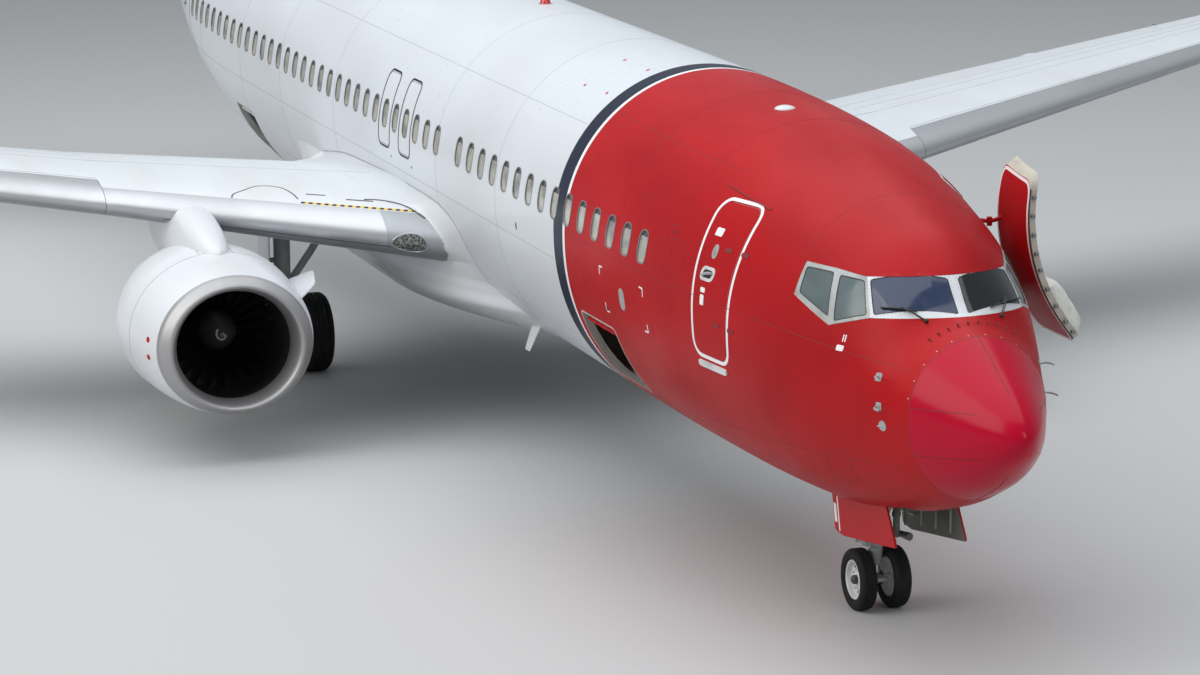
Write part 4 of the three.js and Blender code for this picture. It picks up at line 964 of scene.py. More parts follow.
# Black plates paint the shade inside the handles' dishes.
make("door_handle_dish_shades", list(dish_shades), black)
make("door_handle_levers", list(levers), frame_paint)
sills = [sill_plate(SERVICE, -1), sill_plate(ENTRY, 1), sill_plate(REAR, 1), sill_plate(REAR, -1)]
make("door_sill_plates", sills, rim_grey)
hinge_fairings = [plate_on(s, z, -1, (0.14, 0.045), 0.012, 0.004) for z in (3.98, 3.16) for s in (4.78, 4.45)]
make("service_door_hinge_fairings", hinge_fairings, red_line)


def porthole(s, z, side):
    """A door's oval window: a rim and a dark pane."""
    on = lay(s + 0.045 * np.cos(circle(28)), z + 0.0675 * np.sin(circle(28)), side)
    out = facing(on)
    return ribbon(on, out, 0.022, 0.006, 0.004), rings_to_part(np.stack([on - 0.002 * out, on + 0.002 * out]))


ports = [porthole(5.03, 3.93, -1)] + [porthole(31.0, 3.86, side) for side in (1, -1)]
make("door_window_rims", [p[0] for p in ports], frame_paint)
make("door_window_panes", [p[1] for p in ports], pane)
labels = [plate_on(5.10, 4.13, -1, (0.15, 0.085), lean=-0.1), plate_on(5.12, 3.50, -1, (0.10, 0.055)),
          plate_on(5.125, 3.39, -1, (0.085, 0.115)), plate_on(2.52, 3.33, -1, (0.10, 0.06), lean=-0.15),
          plate_on(2.475, 3.435, -1, (0.014, 0.075)), plate_on(2.505, 3.435, -1, (0.014, 0.075))]
make("blank_label_plates", labels, line_white)
print("doors:", [name for name in pieces if "door" in name])
# %% [markdown]
# ## Wings
# A wing is one section carried from root to tip. The section's thickness follows a known formula
# along the chord, and the table gives the leading edge, the chord, the height and the thickness at
# each break of the real planform. Straight runs between the breaks match the real wing's straight
# spars. The slats and the flaps are the same solid kept inside strips of its plan.

# %% Lifting surfaces
WING = np.array([
    # y, leading edge, chord, z, thickness
    (1.30, 14.397, 6.86, 2.289, 0.145), (1.88, 14.7, 6.56, 2.35, 0.14), (3.6, 15.601, 5.77, 2.531, 0.13),
    (5.75, 16.726, 4.724, 2.757, 0.12), (11.5, 19.737, 3.124, 3.361, 0.115),
    (16.6, 22.407, 1.706, 3.897, 0.105),
])
CAMBER, EDGE = 0.012, 0.003
METAL_PART, ROOT_LIGHT_END, SLAT_PART = 0.065, 2.52, 0.12
FRACTIONS = np.concatenate([(1 - np.cos(np.linspace(0, np.pi, 41))) / 2, [METAL_PART, SLAT_PART]])
FRACTIONS = np.unique(np.round(FRACTIONS, 6))
SIDES = {"left": 1, "right": -1}


def airfoil(f):
    """Half the thickness at a share f of the chord, as a share of the greatest thickness: five times
    a sum of the square root of f and its first four powers."""
    return 5 * (0.2969 * np.sqrt(f) - 0.126 * f - 0.3516 * f**2 + 0.2843 * f**3 - 0.1036 * f**4)


def at_span(table, span):
    """The table's other columns at a span, straight between its rows."""
    return np.stack([np.interp(span, table[:, 0], column) for column in table.T[1:]], -1)


def chord_share(table, points, span):
    """How far aft of the leading edge points lie, as a share of the chord at their span."""
    lead, chord = at_span(table, span)[:, :2].T
    return (points[:, 0] - lead) / chord


def section_offsets(chord, thickness, camber):
    """The section's ring: shares of the chord and offsets, back over the top and forward below."""
    f = np.concatenate([FRACTIONS[::-1], FRACTIONS[1:]])
    sign = np.concatenate([np.ones(len(FRACTIONS)), -np.ones(len(FRACTIONS) - 1)])
    chord, thickness = chord[:, None], thickness[:, None]
    half = airfoil(f) * thickness * chord + EDGE * chord * f
    return f, sign * half + camber * chord * 4 * f * (1 - f)


def surface_rings(table, spans, camber=0.0):
    """A lifting surface's rings: the spans, the stations, the table's heights and the offsets."""
    lead, chord, height, thickness = at_span(table, spans).T
    f, offset = section_offsets(chord, thickness, camber)
    s = lead[:, None] + f * chord[:, None]
    return spans[:, None] + 0 * s, s, height[:, None], offset


def on_wing(side, span, f, top=1, grow=0.0):
    """A point on a wing's upper or lower face, raised off it by grow."""
    span, f = np.broadcast_arrays(np.asarray(span, float), np.asarray(f, float))
    lead, chord, height, thickness = np.moveaxis(at_span(WING, span), -1, 0)
    half = airfoil(f) * thickness * chord + EDGE * chord * f + grow
    z = height + top * half + CAMBER * chord * 4 * f * (1 - f)
    return np.stack([lead + f * chord, side * span, z], -1)


def wing_mark(side, span, f, width, top=1, proud=0.0015, count=24):
    """A thin painted line or gap on a wing's face: arrays or two ends in span and chord share."""
    if len(span) == 2:
        span, f = np.linspace(*span, count), np.linspace(*f, count)
    path = on_wing(side, span, f, top)
    tip = on_wing(side, span, np.clip(np.asarray(f) + 0.01, 0, 1), top)
    ahead = np.gradient(path, axis=0)
    flat = np.abs(np.cross(ahead, tip - path)).max(-1, keepdims=True) < 1e-7
    normal = unit(np.cross(ahead, np.where(flat, (0.0, side, 0.0), tip - path)))
    return ribbon(path, normal * np.sign(normal[:, 2:]) * top, width, proud, 0.006, False)


def plan(outline_points, side):
    """A tall prism over an outline in s and y."""
    s, y = np.asarray(outline_points, float).T
    return prism(np.stack([s, side * y, 0 * s], -1), (0, 0, 1), 0, 9)


def strip(side, spans, front, back):
    """A prism over a strip of the wing between two spans: its front and its back are shares of the
    chord, one pair at each end."""
    corners = []
    for span, share in zip((*spans, *spans[::-1]), (*front, *back[::-1])):
        lead, chord = at_span(WING, span)[:2]
        corners.append((lead + share * chord, span))
    return plan(corners, side)


def hinge_space(table, control, rise=0.0):
    """The hinge line of a control surface beyond both its ends, with the radius of its round nose:
    span, station, height and radius at each end."""
    low, high, depth = control["start"], control["stop"], control["depth"]
    lead, chord, height, thickness = at_span(table, [low, high]).T
    radius = airfoil(1 - depth) * thickness * chord + 0.01 * chord + control["gap"]
    rows = np.stack([lead + (1 - depth) * chord, height + rise * chord, radius], -1)
    return [(span, *(rows[0] + (span - low) / (high - low) * (rows[1] - rows[0])))
            for span in (low - control["end_gap"], high + control["end_gap"])]


def clear_control(obj, ends, gap, reach, slab, point):
    """Takes the room for a control surface from a piece: a slab behind the hinge line, and then a
    cone of the rounded nose's radius along it."""
    (y0, s0, z0, r0), (y1, s1, z1, r1) = ends
    carve(obj, slab([(s0 - gap, y0), (s0 + reach, y0), (s1 + reach, y1), (s1 - gap, y1)]))
    a, b = np.array([point(s0, y0, z0), point(s1, y1, z1)])
    carve(obj, lathe([(r0, 0), (r1, np.linalg.norm(b - a))], a, b - a, 32))


SLATS = (5.9, 16.3)
FLAPS = [("inboard", (2.65, 5.15), (0.2, 0.26)), ("outboard", (5.75, 11.9), (0.26, 0.26))]
AILERON = dict(start=12.25, stop=15.7, depth=0.25, gap=0.014, end_gap=0.032)
GAP, FRONT_REACH, BACK_REACH = 0.006, (-0.5, -0.5), (1.5, 1.5)
spans = np.unique(np.concatenate([WING[:, 0], [ROOT_LIGHT_END, *SLATS], np.linspace(1.3, 16.6, 30)]))
hinge = hinge_space(WING, AILERON, CAMBER * 4 * AILERON["depth"] * (1 - AILERON["depth"]))
y, s, height, offset = surface_rings(WING, spans, CAMBER)
for name, side in SIDES.items():
    whole = rings_to_part(np.stack([s, side * y, height + offset], -1))
    wing = make(f"{name}_wing_skin", whole, wing_grey, replaces=[f"{name}_wing"])
    slats = make(f"{name}_slat_skin", whole, bare, replaces=[f"{name}_slats"])
    carve(slats, strip(side, SLATS, FRONT_REACH, (SLAT_PART, SLAT_PART)), "INTERSECT")
    carve(wing, strip(side, (SLATS[0] - GAP, SLATS[1] + GAP), FRONT_REACH, (SLAT_PART + 0.002,) * 2))
    for flap, (low, high), depths in FLAPS:
        skin_name, front = f"{name}_{flap}_flap", [1 - depth for depth in depths]
        flap_skin = make(skin_name + "_skin", whole, wing_grey, replaces=[skin_name])
        carve(flap_skin, strip(side, (low, high), front, BACK_REACH), "INTERSECT")
        carve(wing, strip(side, (low - GAP, high + GAP), [x - 0.002 for x in front], BACK_REACH))
    clear_control(wing, hinge, AILERON["gap"], 2, lambda ring: plan(ring, side),
                  lambda s, y, z: (s, side * y, z))
    middle, _ = centres(wing)
    span = np.abs(middle[:, 1])
    metal = chord_share(WING, middle, span) < METAL_PART
    paint(wing, bare, metal & (span > ROOT_LIGHT_END))
    paint(wing, root_metal, metal & (span < ROOT_LIGHT_END))
    print(name, "wing:", len(wing.data.polygons), "faces")

# %% [markdown]
# Under the wings, slender fairings hide the flap tracks. On top, thin gaps and sealant lines show
# where the panels meet, and a dashed line in two colours marks the edge of the walkway.

# %% Track fairings and panel lines
TRACKS = [(7.1, 19.7, 22.5), (10.3, 21.0, 23.4)]  # span, front end and rear end
LINES = [  # on a wing's faces: the ends in span, and the ends as shares of the chord
    ((5.9, 16.5), (0.135, 0.135)), ((2.6, 5.7), (0.70, 0.64)), ((5.7, 16.5), (0.64, 0.66)),
    ((2.1, 16.5), (0.40, 0.38)), ((5.75, 16.5), (0.52, 0.52)),
]
RIBS = [3.6, 5.4, 5.82, 7.4, 8.9, 10.3, 11.98, 13.4, 14.8, 15.78, 16.45]
SEALANT = [(2.62, 0.115), (2.5, 0.118), (2.35, 0.115), (2.22, 0.104), (2.13, 0.088), (2.06, 0.066),
           (1.99, 0.045)]
WALK = [(4.30, 0.067), (4.25, 0.09), (4.10, 0.12), (3.85, 0.165), (3.6, 0.165), (3.5, 0.13), (3.46, 0.09)]
DASHES, DASH_SHARE = np.linspace(2.06, 3.45, 30), 0.072


def ellipsoid(centre, size, rows=22, sides=32):
    """A ball stretched to three half sizes: in s, in y and in height."""
    turn, around = np.linspace(0.04, np.pi - 0.04, rows)[:, None], circle(sides)
    x, y, z = -np.cos(turn) + 0 * around, np.sin(turn) * np.cos(around), np.sin(turn) * np.sin(around)
    return rings_to_part(np.stack([x, y, z], -1) * size + centre)


for name, side in SIDES.items():
    parts = []
    for span, start, stop in TRACKS:
        chord, height = at_span(WING, span)[1:3]
        parts.append(ellipsoid(((start + stop) / 2, side * span, height - 0.035 * chord - 0.12),
                               ((stop - start) / 2, 0.15, 0.23)))
    make(f"{name}_flap_track_fairings", parts, plain_white)
    lines = []
    for top, ribs, end in ((1, RIBS, 0.98), (-1, RIBS[3:], 0.6)):
        lines += [wing_mark(side, *ends, 0.010, top) for ends in LINES]
        lines += [wing_mark(side, (span, span), (0.14, end), 0.010, top, count=22) for span in ribs]
    make(f"{name}_wing_panel_lines", lines, grey_line)
    make(f"{name}_nose_flap_gap", wing_mark(side, (2.46, 5.2), (0.012, 0.016), 0.022, -1), dark_line)
    dashes = [wing_mark(side, pair, (DASH_SHARE,) * 2, 0.05, count=3)
              for pair in zip(DASHES[:-1], DASHES[1:])]
    make(f"{name}_step_line_dark", dashes[::2], black)
    make(f"{name}_step_line_yellow", dashes[1::2], yellow)
    black_lines = [wing_mark(side, *spline(SEALANT, 5).T, 0.022, 1, 0.007),
                   wing_mark(side, *spline(WALK, 6).T, 0.022)]
    for ends, share in (((3.32, 3.08), 0.125), ((2.85, 2.52), 0.108)):
        black_lines.append(wing_mark(side, ends, (share, share), 0.035, count=6))
    make(f"{name}_root_sealant", black_lines, dark_line)

# %% [markdown]
# A blended winglet carries the wing's section round an upward bend. Its table gives the lean of
# each section, and a curve through the table's rows makes the bend smooth.

# %% Winglets
WINGLET = np.array([
    # y, leading edge, chord, z, thickness, lean in degrees
    (16.60, 22.407, 1.706, 3.897, 0.105, 0), (17.00, 22.650, 1.460, 3.960, 0.100, 22),
    (17.33, 22.880, 1.260, 4.160, 0.100, 46), (17.56, 23.150, 1.100, 4.530, 0.100, 66),
    (17.72, 23.640, 0.900, 5.150, 0.100, 78), (17.885, 24.76, 0.470, 6.300, 0.100, 82),
])
bend = spline(WINGLET, 7)
lean = np.radians(bend[:, 5:])
f, offset = section_offsets(bend[:, 2], bend[:, 4], CAMBER * np.cos(lean))
for name, side in SIDES.items():
    s = bend[:, 1:2] + f * bend[:, 2:3]
    y = side * (bend[:, :1] + 0.0005 - offset * np.sin(lean))
    ring = np.stack([s, y, bend[:, 3:4] + offset * np.cos(lean)], -1)
    tip = make(f"{name}_winglet_skin", rings_to_part(ring), plain_white, replaces=[f"{name}_winglet"])
    middle, _ = centres(tip)
    row = np.clip(np.searchsorted(bend[:, 3], middle[:, 2]) - 1, 0, len(bend) - 2)
    paint(tip, bare, (middle[:, 0] - bend[row, 1]) / bend[row, 2] < METAL_PART)
    make(f"{name}_navigation_lamp", ellipsoid((22.72, side * 16.93, 3.955), (0.11, 0.09, 0.05), 10, 16),
         red_lamp if side > 0 else green_lamp)

# %% [markdown]
# ## Belly fairing and wing roots
# A broad fairing closes the gap between the round body and the wings. Its sections are rounded
# rectangles, made as a superellipse. At both ends each ring shrinks towards the body's own section
# until it is just inside it, so that the fairing's edge leans as the real one does. A fillet carries
# the fairing on to each wing and round its leading edge: each section is a parabola from the body's
# side, through the corner, to the wing's face.

# %% Belly fairing
FAIRING_START, FAIRING_STOP, FAIRING_HALF, FAIRING_LOW, FAIRING_TOP = 12.1, 23.6, 2.09, 1.0, 2.9
FRONT_EDGE = np.array([  # height, and the station where the fairing's front edge crosses it
    (1.0, 12.75), (1.45, 12.90), (1.6, 13.4), (1.8, 13.75), (2.1, 13.90), (2.4, 14.03), (2.68, 14.28),
    (2.86, 15.1),
])
FRONT_RISE, BACK_EDGE, BACK_RISE, SQUARE, NEARLY = 4.4, 23.4, 3.4, 0.8, 0.985
MIDDLE_Z = 2.2


def to_body(points):
    """The share of the way out from the middle line at which each point's ray meets the skin, found
    by halving."""
    low, high = np.zeros(points.shape[:-1]), np.full(points.shape[:-1], 4.0)
    middle_line = points * (1, 0, 0) + (0, 0, MIDDLE_Z)
    for _ in range(24):
        share = (low + high) / 2
        inside = level(middle_line + share[..., None] * (points - middle_line)) < 0
        low, high = np.where(inside, share, low), np.where(inside, high, share)
    return low


stations = np.linspace(FAIRING_START, FAIRING_STOP, 110)[:, None]
turn = circle(128)
y = FAIRING_HALF * bent(np.cos(turn), SQUARE) + 0 * stations
z = (FAIRING_TOP + FAIRING_LOW) / 2 + (FAIRING_TOP - FAIRING_LOW) / 2 * bent(np.sin(turn), SQUARE)
z = z + 0 * stations
full = np.stack([stations + 0 * y, y, z], -1)
front = np.clip((stations - np.interp(z, *FRONT_EDGE.T)) / FRONT_RISE, 0, 1)
back = np.clip((BACK_EDGE - stations) / BACK_RISE, 0, 1)
grown = (1 - (1 - front) ** 1.5) * (1 - (1 - back) ** 1.5)
share = np.minimum(NEARLY * to_body(full), 1)
share = share + grown * (1 - share)
middle_line = full * (1, 0, 0) + (0, 0, MIDDLE_Z)
whole = rings_to_part(middle_line + share[..., None] * (full - middle_line))
belly = make("belly_fairing_skin", whole, plain_white, replaces=["belly_fairing"])
for tool in well:
    carve(belly, tool)
middle, _ = centres(belly)
# The wheel wells' walls take the darkened paint that paints the shade inside them.
paint(belly, shaded_bay_paint, np.hypot(middle[:, 0] - WELL_S, np.abs(middle[:, 1]) - WELL_Y) < WELL_RADIUS + 0.005)
print("belly fairing:", len(belly.data.polygons), "faces")

# %% Root fillets
ROOT = np.array([  # from the trailing edge forward, round the leading edge and back below it
    # share of the chord (below: less than 0), span, station and height on the body, corner's offset
    (1.00, 2.50, 21.3, 2.58, 0.15), (0.80, 2.50, 19.9, 2.77, 0.15), (0.60, 2.50, 18.6, 2.83, 0.15),
    (0.40, 2.50, 17.3, 2.87, 0.15), (0.20, 2.48, 16.0, 2.87, 0.15), (0.118, 2.40, 15.35, 2.865, 0.15),
    (0.098, 2.20, 15.05, 2.85, 0.15), (0.070, 2.07, 14.8, 2.82, 0.14), (0.045, 2.00, 14.57, 2.77, 0.13),
    (0.020, 1.95, 14.35, 2.70, 0.12), (0.005, 1.90, 14.19, 2.58, 0.11), (0.000, 1.86, 14.09, 2.44, 0.10),
    (-0.005, 1.82, 14.02, 2.30, 0.10), (-0.015, 1.77, 13.96, 2.14, 0.10), (-0.040, 1.75, 13.90, 1.98, 0.10),
])
rows = spline(ROOT, 7)
share, span = np.clip(rows[:, 0], -0.05, 1), rows[:, 1]
top = np.where(share >= 0, 1.0, -1.0)
t = np.linspace(0, 1, 18)[None, :, None]
edge = np.concatenate([ROOT[:, 2:4], FRONT_EDGE[2::-1, ::-1]])
edges, pads = [], []
for name, side in SIDES.items():
    outer = on_wing(side, span, abs(share), top, 0.002)
    inner = on_wing(side, np.minimum(span, 1.95), abs(share), top)
    beside = lay(inner[:, 0], inner[:, 2], side)
    corner = onto(beside) + facing(beside) * rows[:, 4:]
    top_edge = np.maximum(rows[:, 3], np.where(share > 0.1, corner[:, 2] + 0.02, 0))
    upper = lay(rows[:, 2], top_edge, side, -0.012)
    curve = (1 - t) ** 2 * upper[:, None] + 2 * t * (1 - t) * corner[:, None] + t**2 * outer[:, None]
    heart = on_wing(side, span, 0.3 + 0 * share, 0 * top)
    low = np.stack([outer + 0.06 * unit(heart - outer), upper * (1, 0.85, 1) + 0.25 * unit(heart - upper)], 1)
    make(f"{name}_root_fillet", rings_to_part(np.concatenate([curve, low], 1)), plain_white)
    pads.append(rod((19.25, side * 3.95, 2.31), (19.25, side * 3.95, 2.5), 0.09, sides=32))
    # A grey line along the fairing's upper and front edge is its seal, and also paints the thin shadow where
    # the fairing steps out from the skin.
    edges.append(mark(lay(*spline(edge, 6).T, side), 0.014, False, 0.004))
make("jacking_pads", pads, steel)
make("fairing_edge_seals_and_shadow", edges, grey_line)
print("fillet sections:", len(rows))
# %% [markdown]
# ## Engines
# Each engine is a set of shells about one axis. The inlet and the fan cowl aren't round: they are
# flatter below, so each ring has its own height above and below the axis. The inlet's rows run
# forward along the inside, round the lip and aft along the outside, and a curve through them makes
# the round lip.

# %% Cowls
ENGINE_S, ENGINE_Y, ENGINE_Z = 13.876, 4.83, 1.33
INLET = np.array([
    # distance aft of the lip, half width, height above and below the axis
    (1.12, 0.785, 0.785, 0.785), (0.65, 0.775, 0.765, 0.765), (0.28, 0.757, 0.712, 0.712),
    (0.09, 0.800, 0.742, 0.742), (0.00, 0.870, 0.800, 0.800), (0.08, 0.965, 0.872, 0.855),
    (0.19, 1.028, 0.922, 0.897), (0.56, 1.120, 1.000, 0.955), (1.12, 1.185, 1.058, 0.985),
])
FAN_COWL = np.array([
    (1.123, 1.185, 1.058, 0.985), (1.65, 1.205, 1.075, 0.985), (2.30, 1.110, 1.000, 0.945),
    (3.05, 0.890, 0.835, 0.830),
])
FAN_DUCT = np.array([
    (3.05, 0.850, 0.805, 0.805), (2.30, 0.850, 0.830, 0.830), (1.60, 0.800, 0.800, 0.800),
    (1.123, 0.790, 0.790, 0.790),
])
CORE = np.array([
    # distance aft of the lip, radius
    (1.60, 0.004), (1.60, 0.770), (1.68, 0.770), (1.70, 0.520), (2.30, 0.600), (3.30, 0.520), (4.15, 0.330),
    (4.16, 0.290), (4.10, 0.240), (4.40, 0.165), (4.70, 0.060), (4.72, 0.004),
])
LIP_OUT, LIP_IN = 0.20, 0.32  # how far aft the bare metal reaches, outside and inside
OVAL, INLET_BORE, COWL_BORE, BORE_END = 1.06, 0.79, 0.86, 2.9


def cowl_ring(rows, side, turn):
    """Points round an engine: half width times the cosine, and the height above or below times
    the sine."""
    d, half, up, down = [column[..., None] for column in np.asarray(rows, float).T]
    c, e = np.cos(turn), np.sin(turn)
    y, z = half * c, np.where(e > 0, up, down) * e
    return np.stack([ENGINE_S + d + 0 * y, side * ENGINE_Y + y, ENGINE_Z + z], -1)


def aft_and_out(obj, side):
    """How far aft of the lip each face lies, and how far from the axis, where distances to the side
    count a little less because the cowl is wider than it is tall."""
    middle, _ = centres(obj)
    return middle[:, 0] - ENGINE_S, np.hypot((middle[:, 1] - side * ENGINE_Y) / OVAL, middle[:, 2] - ENGINE_Z)


around = circle(128)
inlet_rows = spline(INLET, 8)
cowl_rows = np.concatenate([spline(FAN_COWL, 7), spline(FAN_DUCT, 5)])
for name, side in SIDES.items():
    inlet = make(f"{name}_inlet_lip", rings_to_part(cowl_ring(inlet_rows, side, around), True), plain_white,
                 replaces=[f"{name}_inlet_cowl"])
    d, r = aft_and_out(inlet, side)
    inside = r < INLET_BORE
    paint(inlet, lip_metal, np.where(inside, d < LIP_IN, d < LIP_OUT))
    paint(inlet, duct, inside & (d > LIP_IN))
    nacelle = make(f"{name}_fan_cowl", rings_to_part(cowl_ring(cowl_rows, side, around), True), plain_white,
                   replaces=[f"{name}_nacelle"])
    d, r = aft_and_out(nacelle, side)
    paint(nacelle, duct, (r < COWL_BORE) & (d < BORE_END))
    core = lathe(CORE[:, ::-1], (ENGINE_S, side * ENGINE_Y, ENGINE_Z), (1, 0, 0), 72)
    make(f"{name}_core_and_nozzle", core, hot, replaces=[f"{name}_engine_core"])
print("cowl sections:", len(inlet_rows), "and", len(cowl_rows))

# %% [markdown]
# The fan's blades twist from root to tip, because the tip moves faster than the root. One blade is
# a lens-shaped section carried outward while it turns, and it is copied round the hub. The pale
# swirl on the spinner shows from afar whether the fan is turning.

# %% Fans
SPINNER = np.array([
    # distance aft of the lip, radius
    (0.86, 0.004), (0.88, 0.05), (0.96, 0.13), (1.08, 0.215), (1.22, 0.265), (1.42, 0.27), (1.42, 0.004),
])
BLADES, BLADE_ROOT, BLADE_TIP, BLADE_AT = 24, 0.255, 0.762, 1.31
ROOT_TWIST, TIP_TWIST = 34.0, 62.0


def blade():
    """One blade standing up from the axis, in s, y and z about the hub's middle: at each radius a
    lens of 16 points, turned by the twist there."""
    u = np.linspace(0, 1, 14)[:, None]
    radius = BLADE_ROOT + u * (BLADE_TIP - BLADE_ROOT)
    twist = np.radians(ROOT_TWIST + u * (TIP_TWIST - ROOT_TWIST))
    chord = 0.17 + 0.07 * np.sin(0.75 * np.pi * u)
    c, e = np.cos(circle(16))[None], np.sin(circle(16))[None]
    along, across = chord / 2 * c, (0.007 - 0.003 * u) * e + 0.02 * (c**2 - 0.5)
    s = along * np.cos(twist) - across * np.sin(twist)
    y = along * np.sin(twist) + across * np.cos(twist)
    return rings_to_part(np.stack([s + 0.03 * np.sin(np.pi * u), y, radius + 0 * s], -1))


def turned(part, centre, axis, angle):
    """A part turned about a line: each point's offset is split along the axis and across it."""
    verts, faces = part
    axis, offset = unit(np.asarray(axis, float)), verts - centre
    along = (offset @ axis)[:, None] * axis
    c, e = math.cos(angle), math.sin(angle)
    return centre + along + c * (offset - along) + e * np.cross(axis, offset), faces


one = blade()
for name, side in SIDES.items():
    hub = np.array([ENGINE_S, side * ENGINE_Y, ENGINE_Z])
    placed = one[0] + hub + (BLADE_AT, 0, 0), one[1]
    blades = [turned(placed, hub, (1, 0, 0), k * 2 * math.pi / BLADES) for k in range(BLADES)]
    make(f"{name}_fan_blades", blades, fan_steel, f"{name}_fan_rotor", [f"{name}_fan"])
    cone = lathe(SPINNER[:, ::-1], hub, (1, 0, 0), 64)
    make(f"{name}_spinner", cone, spinner_paint, f"{name}_fan_rotor")
    t = np.linspace(0, 1, 40)
    spiral_radius = 0.018 + 0.075 * t
    depth = np.interp(spiral_radius, SPINNER[:5, 1], SPINNER[:5, 0]) - 0.004
    turn = side * 1.5 * np.pi * t + 0.6
    path = hub + np.stack([depth, spiral_radius * np.cos(turn), spiral_radius * np.sin(turn)], -1)
    slope = np.stack([-np.ones_like(t), 0.8 * np.cos(turn), 0.8 * np.sin(turn)], -1)
    swirl = ribbon(path, slope, 0.026, 0.003, 0.004, False)
    make(f"{name}_spinner_swirl", swirl, swirl_paint, f"{name}_fan_rotor")
print(BLADES, "blades a fan")

# %% [markdown]
# A pylon hangs each engine ahead of the wing. Its sections across the airframe are boxes with round
# corners: a sine and a cosine raised to a power below 1, so one formula serves every row. A small
# fin on the inboard side of the cowl steers the air over the wing, and thin gaps show where the
# inlet and the cowl doors meet.

# %% Pylons and cowl fittings
PYLON = np.array([
    # s, top, bottom, half thickness
    (14.84, 2.38, 1.95, 0.03), (14.9, 2.43, 1.92, 0.12), (15.05, 2.49, 1.9, 0.2), (15.4, 2.6, 1.9, 0.26),
    (15.8, 2.7, 1.9, 0.29), (16.4, 2.79, 1.9, 0.3), (17.2, 2.8, 1.88, 0.28), (18.1, 2.7, 1.86, 0.2),
    (19.2, 2.5, 2.15, 0.07), (19.4, 2.46, 2.32, 0.02),
])
CHINE = np.array([(0.72, 0.0), (1.00, 0.27), (1.62, 0.38), (1.84, 0.0)])
CHINE_ANGLE, CHINE_HALF, SQUARE_OFF = math.radians(26), 0.009, 0.75
cowl_outer = np.concatenate([inlet_rows[32:], spline(FAN_COWL, 7)[1:]])


def on_cowl(side, d, turn, grow=0.0):
    """A point on an engine's outer skin: the cowl's rows read at a distance, turned by an angle."""
    d, turn = np.broadcast_arrays(np.asarray(d, float), np.asarray(turn, float))
    rows = np.stack([np.interp(d, cowl_outer[:, 0], column) for column in cowl_outer.T], -1)
    c, e = np.cos(turn), np.sin(turn)
    tall = np.where(e > 0, rows[..., 2], rows[..., 3])
    y, z = side * ENGINE_Y + (rows[..., 1] + grow) * c, ENGINE_Z + (tall + grow) * e
    return np.stack([ENGINE_S + d, y, z], -1)


def cowl_line(side, d, turn, width):
    """A thin line on a cowl."""
    path = on_cowl(side, d, turn)
    out = path - (0, side * ENGINE_Y, ENGINE_Z)
    return ribbon(path, out * (0, 1, 1), width, 0.0015, 0.006, False)


for name, side in SIDES.items():
    rows = spline(PYLON, 6)
    s, top, bottom, thick = [column[:, None] for column in rows.T]
    y = side * ENGINE_Y + thick * bent(np.cos(circle(40)), SQUARE_OFF)
    z = (top + bottom) / 2 + (top - bottom) / 2 * bent(np.sin(circle(40)), SQUARE_OFF)
    make(f"{name}_pylon_skin", rings_to_part(np.stack([s + 0 * y, y, z], -1)), plain_white,
         replaces=[f"{name}_pylon"])
    inboard = math.pi - CHINE_ANGLE if side > 0 else CHINE_ANGLE
    shape = evenly(soft_corners(CHINE, 0.07), 0.04)
    root = on_cowl(side, shape[:, 0], np.full(len(shape), inboard), -0.02)
    out = np.array([0, math.cos(inboard), math.sin(inboard)])
    across = np.cross(out, (1, 0, 0))
    chine = prism(root + shape[:, 1:] * out, across, -CHINE_HALF, CHINE_HALF)
    make(f"{name}_nacelle_chine", chine, plain_white)
    lines = [cowl_line(side, 1.121, np.linspace(0, 2 * np.pi, 97), 0.014),
             cowl_line(side, 2.32, np.linspace(-1.5 * np.pi + 0.15, 0.35 * np.pi, 60), 0.010)]
    lines += [cowl_line(side, np.linspace(1.13, 3.0, 24), angle, 0.010)
              for angle in (-math.pi / 2, 1.38, 1.76)]
    make(f"{name}_cowl_gaps", lines, grey_line)
    marks = []
    for angle in (math.pi - 0.12, math.pi + 0.12) if side < 0 else (-0.12, 0.12):
        path = on_cowl(side, 0.42 + 0.045 * np.cos(circle(16)), angle + 0.04 * np.sin(circle(16)))
        out = unit((path - (0, side * ENGINE_Y, ENGINE_Z)) * (0, 1, 1))
        marks.append(rings_to_part(np.stack([path - 0.004 * out, path + 0.002 * out])))
    make(f"{name}_cowl_marks", marks, red)
print("pylon sections:", len(rows))
# %% [markdown]
# ## Landing gear
# The nose gear is a shock strut in two parts: a fixed outer tube, and a bright ram that slides and steers
# below it, with a hinged pair of links to keep the two in line. Wheels come in pairs on one axle. Tyres are
# one profile turned about the axle, with the tread grooves as steps in it. A rim is a dished disc with bolts,
# a hub cap, and dark discs that paint the shade seen in its vent holes.

# %% Wheels
NOSE_GEAR = dict(s=4.18, axle=0.34309, radius=0.343, width=0.197, rim=0.222, side=0.2)
MAIN_GEAR = dict(s=19.78, y=2.8, axle=0.2111, radius=0.565, width=0.41, rim=0.3, side=0.432)
UP = (0, 0, 1)


def tyre(gear, centre):
    """A tyre: a bulged side as a spline, and a tread with four square grooves."""
    radius, w, rim_radius = gear["radius"], gear["width"] / 2, gear["rim"]
    deep = radius - rim_radius
    wall = spline([(rim_radius, 0.74 * w), (rim_radius + 0.22 * deep, 0.93 * w), (rim_radius + 0.5 * deep, w),
                   (radius - 0.22 * deep, 0.93 * w), (radius - 0.05 * deep, 0.72 * w)], 5)
    low, wide = radius - 0.05 * deep, 0.035 * w
    grooves = [(r, at * w + edge) for at in (0.5, 0.17, -0.17, -0.5)
               for r, edge in ((radius, wide), (low, wide), (low, -wide), (radius, -wide))]
    return lathe(np.concatenate([wall, grooves, wall[::-1] * (1, -1)]), centre, (0, 1, 0), 72, True)


